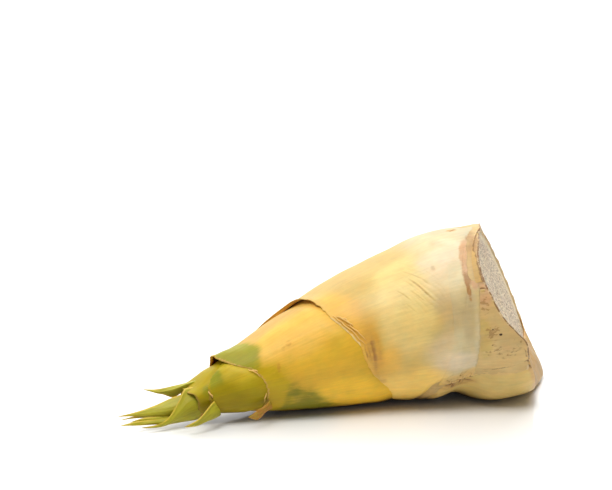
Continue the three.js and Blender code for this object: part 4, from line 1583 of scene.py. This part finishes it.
# Young bamboo leaf, ribbed as it grew: it gives a yellow-green with fine dark parallel veins.
LEAF_SKIN = Finish(
    name="young_bamboo_leaf",
    colour="#aca42a",
    layers=(
        Layer("margin", "#cdb240", 0.15, 2.0, low=0.35),
        Layer("foot", "#c48a34", 0.3, 2.0, low=0.1, high=0.9),
        Layer("rust", "#b07a2c", 0.25, 2.0, low=0.2, high=0.9),
        Layer("tip", "#9a7c34", 0.04, 2.0, low=0.93, high=1.03),
        Layer("inner", "#857216", 0.05, low=0.4, high=0.9),
    ),
    vein_colour="#5f661a",
    vein_strength=0.5,
    vein_mm=0.55,
    vein_bump_mm=0.1,
    subsurface=0.2,
    subsurface_mm=1.0,
    roughness=0.42,
    specular=0.25,
)
# Bamboo culm rind, bared where leaves were stripped: it gives a rough, matt tan with dark specks.
RIND = Finish(
    name="bamboo_culm_rind",
    colour="#c8a86c",
    layers=(
        Layer("ochre", "#b28c58", 0.25, 4.0),
        Layer("pink", "#c69c6c", 0.25, 5.0),
        Layer("warm", "#d8b878", 0.2, 6.0),
        Layer("yellow", "#c8ab58", 0.35, 3.0, low=0.1, high=0.9, most=0.6),
        Layer("speck", "#9a7440", 0.9, 1.3, low=0.75, high=1.4, most=0.7),
        # Brown in the creases: partly real stain, partly painted shade in the grooves.
        Layer("stain", "#80552c", 0.2, 1.5, low=0.15, high=0.9),
        Layer("dot", "#3c2610", 0.1, 1.0, low=0.35, high=0.7),
        Layer("rimward", "#dcc49c", 0.4, 2.0, low=0.4, most=0.8),
        Layer("edge", "#7a5426", 0.45, 1.6, low=0.3, most=0.85),
        UNDER,
    ),
    vein_colour="#a5824e",
    vein_strength=0.3,
    vein_mm=1.4,
    vein_bump_mm=0.08,
    pore_bump_mm=0.05,
    roughness=0.5,
)
# Bamboo culm flesh, cut with a knife: it gives a moist off-white with fine brown flecks.
CUT = CutFlesh(
    name="cut_bamboo_flesh",
    colour="#f8e4c2",
    layers=(
        Layer("rimward", "#f0ddb8", 0.2, 3.0, low=0.3, high=0.9),
        Layer("crack", "#8c8a5c", 0.1, 1.0, low=0.2, high=0.9),
    ),
    vein_strength=0.0,
    vein_bump_mm=0.0,
    roughness=0.5,
    subsurface=0.2,
)
# The stump of a bamboo sheath, left when it was trimmed: it gives a plump, moist, waxy yellow.
HEEL_SKIN = Finish(
    name="bamboo_sheath_stump",
    colour="#d6b86c",
    layers=(
        Layer("endward", "#cfa768", 0.25, 5.0, low=0.1, high=0.9),
        Layer("seam", "#d8b473", 0.3, 4.0, low=0.1, most=0.8),
        Layer("sheathward", "#e0bc6c", 0.1, 6.0),
        Layer("crumpled", "#b98c4c", 0.4, 2.5, most=0.8),
        # Brown in the creases, crumples and cap folds: partly real stain, partly painted shade in the
        # grooves.
        Layer("stain", "#7c4e28", 0.2, 1.5, low=0.15, high=0.9),
        UNDER,
    ),
    vein_colour="#b39a55",
    roughness=0.38,
)
# Dry sheath membrane, torn along its veins: it gives a matt brown strip with a dark, ragged edge.
STRIP_SKIN = Finish(
    name="dry_sheath_membrane",
    colour="#c99e58",
    layers=(
        Layer("margin", "#7a5228", 0.4, 1.5, low=0.3, most=0.8),
    ),
    vein_colour="#96703e",
    vein_strength=0.35,
    roughness=0.55,
    subsurface=0.2,
)
# Dry sheath fibre, torn out lengthwise: it gives pale, matt strands.
FIBRE = Finish(
    name="dry_sheath_fibre",
    colour="#dcb060",
    vein_strength=0.0,
    vein_bump_mm=0.0,
    roughness=0.6,
)


# ---- The shoot ---------------------------------------------------------------------------------

CRUSHED = Crumple(Patch(198, -33, 10, 6.5, turn=10))
OUTER_PATCHES = {
    "ridge": (Patch(140, 98, 34, 26), Patch(172, 98, 26, 26)),
    "bleached": (Patch(206, 96, 24, 22), Patch(214, 80, 12, 12)),
    "pale": (
        Patch(166, 46, 12, 20), Patch(178, 40, 10, 22), Patch(168, 20, 12, 18),
        Patch(178, 66, 16, 10, 0.7),
    ),
    "gold": (Patch(139, 42, 8, 26, turn=20), Patch(143, 12, 7, 16, turn=15), Patch(158, -8, 8, 12, 0.8)),
    # Lower-side patches: lemon yellow brightened as painted bounce light from the floor.
    "lemon": (Patch(172, -36, 24, 15), Patch(160, -46, 16, 12), Patch(184, -24, 10, 8, 0.7)),
    "orange": (
        Patch(148, 34, 6, 22, 0.5, 12), Patch(151, 4, 4.5, 14, 0.75, 10), Patch(137, 62, 4, 6, 0.25),
    ),
    "cream": (
        Patch(195, 64, 15, 30), Patch(196, -10, 12, 18), Patch(184, -4, 10, 12, 0.6),
        Patch(178, 150, 16, 16, 0.8, 10), Patch(166, -158, 12, 12, 0.7), Patch(198, 176, 9, 14, 0.8),
    ),
    "white": (
        Patch(200, 68, 9, 11), Patch(189, 62, 7, 9, 0.7, 20), Patch(199, -17, 8, 7),
        Patch(190, -12, 7, 7, 0.6),
    ),
    "grey": (
        Patch(190, 26, 7, 13, 0.6, 20), Patch(200, 14, 3.4, 18, 0.5), Patch(192, 50, 8, 6, 0.2),
        Patch(187, 4, 6, 10, 0.35), Patch(203, 28, 3, 6, 0.6),
        Patch(196, 79, 4, 6, 0.35), Patch(188.5, 57, 1.2, 2.2, 0.8), Patch(201, 70, 4, 5, 0.3),
    ),
    "warm": (
        Patch(199, -33, 12, 5), Patch(208, -27, 8, 4), Patch(190, 120, 9, 8, 0.4),
        Patch(152, -140, 10, 12, 0.4),
    ),
    "brown": (
        Patch(150.5, 5, 1.6, 11, 0.8, 6), Patch(147.6, 9, 1.2, 8, 0.5, 6),
        Patch(153.4, 6, 1.2, 8, 0.4, 6), Patch(156, -24, 3, 3, 0.5),
        Patch(210, 93, 3, 2.5, 0.8), Patch(184, 133, 1.3, 6, 0.6, 12), Patch(159, 168, 1.2, 6, 0.5, 14),
        Patch(193, -160, 1.5, 8, 0.7, 8), Patch(171, 120, 1.1, 5, 0.5, 10), Patch(148, -172, 1.4, 9, 0.5),
    ),
    "pale_line": (Patch(204.4, 8, 1.9, 20, 0.35),),
    "pink": (
        Patch(205.2, 53, 3.2, 11, 1.2, -10), Patch(209, 66, 3.2, 8, 1.1, -14),
        Patch(206, 38, 2.5, 5, 0.7),
    ),
    "tan": (
        Patch(212, 74, 1.4, 7, 0.5, -20), Patch(203, 43, 2.4, 6, 0.75),
        Patch(202.2, 33, 1.1, 6, 0.85), Patch(207.4, 52, 0.8, 10, 0.7, -8),
    ),
}
OUTER_MARKS = Marks(
    patches=OUTER_PATCHES,
    creases=(
        Crease(((173.5, 65), (177.5, 59), (181, 53), (184.5, 44)), 0.55, 0.3, tint=0.5),
        Crease(((174.5, 57), (178, 49.5), (181.5, 40), (185, 32)), 0.6, 0.36, tint=0.6),
        Crease(((167, 50), (170, 44.5), (173, 38)), 0.5, 0.22, tint=0.35),
        Crease(((173.5, 47.5), (176.5, 41), (180, 34)), 0.5, 0.26, tint=0.4),
        Crease(((171, 59), (174, 53), (177.5, 45.5), (179, 41)), 0.5, 0.22, tint=0.3),
        Crease(((170, 37), (172.5, 32), (175, 27)), 0.5, 0.2, tint=0.25),
        Crease(((176.5, 66), (180.5, 60), (184, 54)), 0.45, 0.2, tint=0.25),
        Crease(((145.6, 15), (146.6, 7), (147.4, 0)), 0.6, 0.3, tint=0.6),
        Crease(((148.8, 18), (150.2, 8), (151.4, -5)), 0.9, 0.3, tint=0.8),
        Crease(((147.4, 12), (148.6, 5), (149.6, -3)), 0.7, 0.2, tint=0.35),
        Crease(((151.6, -10), (153.6, -18), (156, -24)), 0.8, 0.1, tint=0.35),
        Crease(((208, 91), (211, 93), (214, 95)), 0.7, 0.35, tint=0.9),
        Crease(((204.5, 38), (202, 34), (200.5, 30), (199.5, 25), (198, 19)), 0.7, 0.2, 0.2, tint=0.25),
        Crease(((209.5, 70), (207, 63.5), (204, 55.5), (202.5, 48)), 0.6, 0.25, tint=0.4),
        Crease(((158, 150), (166, 144), (173, 146), (180, 139)), 0.6, 0.28, tint=0.4),
        Crease(((150, -168), (160, -163), (168, -166)), 0.6, 0.26, tint=0.35),
        Crease(((186, 172), (190, 180), (191, 190), (195, 197)), 0.7, 0.3, tint=0.5),
    ),
    pleats=(
        Pleats(Patch(179, 46, 10, 16), -61.0, 2.1, 0.22),
        Pleats(Patch(150, 8, 5, 9), -78.0, 1.6, 0.2, seed=4),
        Pleats(Patch(176, 72, 9, 8, 0.7), -60.0, 1.8, 0.12, seed=5),
        Pleats(Patch(199, 8, 7, 20, 0.8), 88.0, 2.2, 0.1, seed=6),
        Pleats(Patch(170, 158, 14, 20, 0.8), 74.0, 2.4, 0.16, seed=7),
        Pleats(Patch(184, -150, 10, 16, 0.8), -64.0, 2.1, 0.16, seed=8),
    ),
    crumples=(CRUSHED,),
)
RIPE_MARKS = Marks(
    patches={
        "rosy": (Patch(108, 98, 30, 24), Patch(98, 80, 16, 10, 0.8)),
        "peach": (Patch(112, 52, 22, 14), Patch(100, 58, 10, 8, 0.8)),
        "gold": (Patch(146, -38, 26, 15), Patch(130, -24, 14, 9, 0.7)),
        "lime": (
            Patch(94, 2, 8, 11), Patch(86, 27, 5, 7), Patch(100, -24, 8, 14), Patch(104, -46, 8, 10),
            Patch(84, 60, 8, 12, 0.7),
        ),
        "green": (
            Patch(78, 82, 8, 6), Patch(82, 66, 6, 7), Patch(85, 50, 6, 9), Patch(90, 63, 4, 4, 0.45),
            Patch(78, 98, 8, 6, 0.9),
        ),
        # The patches near the underside, at -46 and -56 degrees, paint shade; the others are the skin's
        # olive colour.
        "moss": (
            Patch(114, -30, 8, 9, turn=-20), Patch(121, -46, 11, 8), Patch(108, -13, 4, 5, 0.8),
            Patch(129, -56, 11, 6, 0.9), Patch(105, -34, 2, 8, 0.6), Patch(108, -56, 10, 6, 0.8),
        ),
        "brown": (
            Patch(107, 46, 1.8, 1.8), Patch(100, 22, 1.0, 3.0), Patch(104, 44, 1.2, 3.0, 0.6),
            Patch(92, -30, 1.6, 5),
        ),
    },
    stains=(
        Crease(((80, 49), (85, 33), (89, 20), (91.5, 10)), 0.9, tint=0.6),
        Crease(((93, -4), (92.5, -18), (91, -32)), 1.2, tint=0.9),
    ),
)
THIRD_MARKS = Marks(
    patches={
        "light": (Patch(79, 36, 7, 7), Patch(88, 30, 6, 6, 0.7), Patch(76, 62, 8, 8, 0.6)),
        "green": (Patch(67, 52, 3.5, 9), Patch(67, 24, 3, 9, 0.8)),
        "low": (Patch(70, -20, 12, 14),),
    },
    creases=(Crease(((62.5, 24), (63.5, 12), (64, 2), (64.5, -6)), 0.6, 0.2, tint=0.9),),
    stains=(Crease(((61, 70), (62, 50), (61.5, 34)), 0.5, tint=0.5),),
)
FOURTH_MARKS = Marks(
    patches={"green": (Patch(62, 24, 3, 6, 0.8),), "low": (Patch(58, -20, 8, 8),)},
    stains=(Crease(((52.5, 60), (54, 40), (56, 20), (57, 0)), 0.7, tint=0.7),),
)


# Outermost first.
SHEATHS = (
    Sheath(
        "sheath_1",
        1,
        Slot.OUTER_SHEATH,
        OUTER_SKIN,
        lip=Lip(
            (
                (-140, -0.6), (-60, -0.9), (0, -0.95), (45, -0.8), (64, -0.3), (78, 1.2), (96, 2.8),
                (112, 1.9), (128, 1.0), (145, 0.1), (165, -0.4),
            )
        ),
        marks=OUTER_MARKS,
        fine=0.62,
        row=0.62,
        root_sink=1.8,
        dried=(10.0, 57.0),
        seed=71,
    ),
    Sheath(
        "sheath_2",
        2,
        Slot.RIPE_SHEATH,
        RIPE_SKIN,
        lip=Lip(
            (
                (-140, -0.4), (-60, -0.5), (0, -0.55), (50, -0.5), (66, -0.2), (80, 1.6), (94, 5.2),
                (106, 5.0), (122, 1.4), (150, -0.2),
            ),
            18.0,
        ),
        marks=RIPE_MARKS,
        fine=0.7,
        seed=72,
    ),
    Sheath(
        "sheath_3",
        3,
        Slot.GREEN_SHEATH,
        GREEN_SKIN,
        lip=Lip(((-140, -0.3), (-60, -0.4), (20, -0.3), (70, -0.3)), 7.0),
        marks=THIRD_MARKS,
        dried=(-200.0, 36.0),
        fine=0.9,
        row=0.5,
        seed=73,
    ),
    Sheath(
        "sheath_4",
        4,
        Slot.GREEN_SHEATH,
        GREEN_SKIN,
        lip=Lip(((-140, -0.2), (-60, -0.3), (70, -0.1)), 6.0),
        marks=FOURTH_MARKS,
        fine=1.2,
        row=0.5,
        seed=74,
    ),
    Sheath("sheath_5", 5, Slot.BUD_LEAF, LEAF_SKIN, fine=1.5, row=0.6, seed=75),
)

# The free blades of the sheaths, then the rolled leaves of the bud.
BLADES = (
    Blade(
        "sheath_2",
        Slot.RIPE_SHEATH,
        (
            ((94.5, -14.8, 14.2), (96, -15.2, 12), (96, -14.8, 9.6)),
            ((91, -17, 12.4), (91.6, -17.6, 10.8), (92, -17, 9.0)),
            ((85.5, -17.6, 10.2), (87, -17.9, 8.5), (89, -17.2, 6.3)),
            ((81, -17.6, 7.8), (83.5, -17.7, 6.4), (86.6, -17, 5.2)),
        ),
        curl=0.6,
        rust=0.75,
        rows=50,
        columns=20,
        seed=81,
    ),
    Blade(
        "sheath_3",
        Slot.GREEN_SHEATH,
        (
            ((64.5, -8.4, 15.6), (67.5, -9.6, 11.4), (68.5, -8.2, 7.4)),
            ((62.4, -10, 15.0), (65.2, -11.2, 11.0), (66.8, -10, 7.4)),
            ((59.3, -12, 12.8), (62.0, -12.9, 9.8), (63.8, -11.2, 6.8)),
            ((55.9, -13, 9.9), (58.2, -13.6, 8.2), (59.2, -12.2, 6.2)),
            ((52, -13.5, 7.5), (53.3, -14, 6.5), (53.4, -13, 4.9)),
            ((46.2, -13.6, 5.6), (46.2, -13.6, 5.5), (46.2, -13.6, 5.4)),
        ),
        curl=0.7,
        seed=82,
    ),
    Blade(
        "sheath_4",
        Slot.GREEN_SHEATH,
        (
            ((62, 8, 24), (61, 5, 24.4), (60, 4.6, 20)),
            ((57.7, 9, 22.4), (55.6, 6.8, 22.4), (54.5, 7.6, 18.8)),
            ((52.5, 10, 21.3), (50, 7.6, 20.7), (50.2, 8.8, 15.7)),
            ((47.1, 11, 20.3), (46, 8.8, 19.2), (46.6, 9.8, 14.2)),
            ((42.2, 12, 19.4), (41, 10.6, 18.1), (42, 11, 15.9)),
            ((37.4, 13, 19.0), (37, 12.1, 18.0), (38, 12, 17.0)),
            ((31.4, 14, 19.5), (31.4, 14, 19.4), (31.4, 14, 19.3)),
        ),
        fold=0.8,
        seed=83,
    ),
    Blade(
        "sheath_5",
        Slot.BUD_LEAF,
        (
            ((62, 4, 20.8), (62, -3.0, 13.5), (62, 1.5, 4.0)),
            ((57.5, 3, 20.8), (57.5, -4.2, 12.5), (57.5, 0.6, 3.0)),
            ((51.4, 2.2, 20.6), (52.5, -4.6, 11.5), (52, 0, 2.9)),
            ((47.6, -1.0, 16.2), (48, -4.6, 9.5), (47, 0, 2.8)),
            ((43.4, -2.5, 10.4), (43.2, -4.2, 6.9), (42, -0.5, 2.8)),
            ((39.5, -3, 6.6), (39, -3.4, 4.6), (37.4, -1, 2.3)),
            ((33.9, -2.5, 4.3), (33.5, -2.6, 3.4), (32.6, -1.5, 2.4)),
            ((25.5, -1.8, 3.7), (25.5, -1.8, 3.6), (25.5, -1.8, 3.5)),
        ),
        curl=0.5,
        foot=1.0,
        rows=120,
        columns=40,
        seed=84,
    ),
    Blade(
        "bud_leaf_1",
        Slot.BUD_LEAF,
        (
            ((62, 6, 20), (62, -0.5, 13), (62, 4, 5.6)),
            ((52.3, 6, 17.0), (51, 0.4, 11.6), (50, 3, 6.2)),
            ((45.5, 6, 15.5), (45, 1.2, 10.4), (44.3, 3, 5.8)),
            ((40.3, 6, 13.9), (40, 2.0, 9.8), (39, 3.2, 6.0)),
            ((35.2, 6, 12.3), (35, 3.0, 9.4), (34, 3.7, 6.6)),
            ((28.8, 5.5, 10.9), (28.6, 3.8, 9.2), (28, 4, 7.5)),
            ((22.3, 5, 10.1), (22.2, 4.3, 9.3), (22, 4.4, 8.4)),
            ((14.2, 5, 9.3), (14.2, 5, 9.2), (14.2, 5, 9.1)),
        ),
        seed=85,
    ),
    Blade(
        "bud_leaf_2",
        Slot.BUD_LEAF,
        (
            ((56, 8, 12), (56, 5.5, 9), (56, 7, 5.6)),
            ((42, 7, 9.4), (42, 4.6, 7.4), (42, 5, 5.4)),
            ((30, 5.4, 8.4), (30, 4.2, 7.4), (30, 4.8, 6.4)),
            ((22, 5, 7.9), (22, 4.6, 7.4), (22, 4.8, 6.9)),
            ((15.1, 5, 7.0), (15.1, 5, 6.9), (15.1, 5, 6.8)),
        ),
        seed=86,
        rows=60,
        columns=16,
    ),
    Blade(
        "bud_leaf_3",
        Slot.BUD_LEAF,
        (
            ((52, 4, 9), (52, 1.5, 6), (52, 2.5, 3.4)),
            ((43, 3.4, 7.6), (43, 1.4, 5.6), (43, 2.4, 3.8)),
            ((37.4, 3, 7.0), (37.4, 1.6, 5.6), (37.4, 2.6, 4.2)),
            ((31.8, 3, 7.2), (31.8, 2.0, 6.0), (31.7, 2.8, 4.9)),
            ((26.7, 3, 7.0), (26.4, 2.5, 6.3), (25.5, 2.9, 5.5)),
            ((20.4, 3, 5.8), (20.4, 3, 5.7), (20.4, 3, 5.6)),
        ),
        seed=87,
        rows=60,
        columns=16,
    ),
    Blade(
        "bud_leaf_4",
        Slot.BUD_LEAF,
        (
            ((50, 3, 7), (50, 0, 5), (50, 1, 2.6)),
            ((42, 2.4, 6.4), (42, -0.6, 4.8), (42, 0, 3.0)),
            ((36, 2, 6.0), (36, 0, 4.8), (36, 0, 3.4)),
            ((30, 1.8, 6.0), (30, 0.2, 5.0), (30, 0, 3.9)),
            ((24, 1.2, 6.3), (24, 0.2, 5.3), (24, 0, 4.4)),
            ((19, 0.6, 6.2), (19, 0, 5.6), (19, 0, 5.0)),
            ((14.2, 0, 5.8), (14.2, 0, 5.7), (14.2, 0, 5.6)),
        ),
        seed=88,
        rows=60,
        columns=16,
    ),
)

def build_base(body: Body) -> None:
    """Makes the bare base, its cut face, the heel and the torn margin."""
    base = Base(
        RIND,
        CUT,
        marks=Marks(
            patches={
                "dot": (
                    Patch(216, 2, 1.0, 0.8), Patch(212, 6, 0.8, 0.7, 0.8), Patch(212, -5, 0.7, 0.7, 0.6),
                    Patch(208, 4, 0.6, 0.6, 0.5), Patch(221, -6, 0.6, 0.6, 0.5),
                ),
                "ochre": (Patch(214, 62, 6, 30), Patch(211, 42, 4, 8)),
                "pink": (Patch(209, 30, 4, 8), Patch(220, -12, 6, 5, 0.6)),
                "warm": (Patch(220, -18, 14, 9), Patch(232, -14, 8, 6), Patch(210, -10, 6, 8)),
                "yellow": (Patch(209, -6, 4, 8, 0.8), Patch(207, 8, 4, 5, 0.8), Patch(209, 32, 1.5, 2)),
                "speck": (
                    Patch(212, 4, 5, 6, 0.9), Patch(213, -9, 5, 5, 0.8), Patch(209, 22, 3, 7, 0.8),
                    Patch(222, -12, 8, 5, 0.6), Patch(226, -4, 5, 4, 0.6),
                ),
            },
            creases=(
                Crease(
                    ((204, -24.5), (211, -25.5), (218, -24), (224, -22.5), (231, -20.5)), 0.6, 0.35, tint=0.6
                ),
                Crease(((230, -20), (233, -18), (235, -20), (237, -22)), 0.7, 0.7),
                Crease(((228, -8), (230, -11), (231, -15), (233, -17)), 0.6, 0.35, tint=0.6),
                Crease(((207.5, 33.5), (209, 34), (211.5, 33)), 0.5, 0.5),
                Crease(((208, 31.5), (209.5, 31.8), (211.5, 31)), 0.4, 0.3, tint=0.6),
                Crease(((206, 2), (209, 3), (212, 2)), 0.5, 0.15, tint=0.3),
                Crease(((206, -2), (210, -3), (213, -3)), 0.5, 0.15, tint=0.3),
            ),
        ),
    )
    base.build_rind(body)
    base.build_face(body)
    Heel(
        HEEL_SKIN,
        Marks(
            patches={"crumpled": (Patch(195, -38, 7, 4, 0.8), Patch(204, -38, 6, 4, 0.6))},
            creases=(
                Crease(((190, -39), (194, -37), (198, -34), (202, -30)), 0.8, 0.4),
                Crease(((198, -34), (203, -35), (208, -38)), 0.8, 0.3, tint=0.7),
                Crease(((198, -34), (196, -38), (196, -44)), 0.8, 0.3, tint=0.7),
                Crease(((200, -31), (206, -29), (213, -29.5)), 0.8, 0.3, tint=0.8),
                Crease(((228.5, -22.5), (231.5, -24.8), (233.5, -23.2), (236, -26)), 0.7, 0.5),
            ),
            crumples=(CRUSHED,),
        ),
    ).build(body)
    Membrane(
        "torn_margin_film",
        FILM_SKIN,
        -36.0,
        97.0,
        body.film_line,
        TEAR,
        lift=0.1,
        baseward_lift=0.0,
        ripple=0.07,
        thickness=0.2,
        marks=OUTER_MARKS,
    ).build(body)
    Membrane(
        "torn_margin_strip",
        STRIP_SKIN,
        38.0,
        92.0,
        Curve([(38, 206.5), (46, 207), (55, 208.5), (68, 213), (80, 219), (92, 226)]),
        body.strip_line,
        lift=0.12,
        baseward_lift=0.4,
        ripple=0.15,
        seed=53,
    ).build(body)


FIBRES = (
    Fibres(
        "sheath_1",
        Slot.OUTER_SHEATH,
        (
            (
                (132.5, 52, 0.0), (134.6, 45, 0.1), (137, 38, 0.2),
                (140.2, 30, 0.2), (143.2, 22, 0.1), (146, 15, -0.2),
            ),
            ((134, 49, 0.1), (136.5, 45, 0.5), (138.8, 41, 0.6), (140, 35, 0.0)),
            ((138, 38, 0.1), (140.8, 32, 0.5), (143.6, 26, 0.5), (146.4, 19, -0.1)),
            ((134.5, 48, 0.1), (136.8, 43, 0.6), (139, 38.5, 0.8), (141.2, 34.5, 0.2)),
        ),
        radius=0.27,
    ),
    Fibres(
        "sheath_2",
        Slot.RIPE_SHEATH,
        (
            ((84, 36, 0.0), (86, 31, 0.4), (88, 25, 0.4), (90, 18, 0.0)),
            ((86, 33, 0.2), (87.5, 30, 0.7), (89, 27, 0.2)),
            ((92.5, -10, 0.1), (92, -18, 0.5), (91.8, -28, 0.4)),
        ),
        radius=0.22,
        seed=62,
    ),
    Fibres(
        "sheath_3",
        Slot.GREEN_SHEATH,
        (((62.4, 25, -0.1), (62.8, 18, 0.5), (63.6, 10, 0.5), (64.2, 4, -0.1)),),
        radius=0.25,
        seed=63,
    ),
)


def main() -> None:
    """Loads the frame and builds the studio and the shoot round it."""
    logging.basicConfig(level=logging.INFO, format="%(name)s: %(message)s")
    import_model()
    body = Body()
    Studio().build()
    for sheath in SHEATHS:
        sheath.build(body)
    for blade in BLADES:
        blade.build(LEAF_SKIN)
    build_base(body)
    for fibres in FIBRES:
        fibres.build(body, FIBRE)


if __name__ == "__main__":
    main()
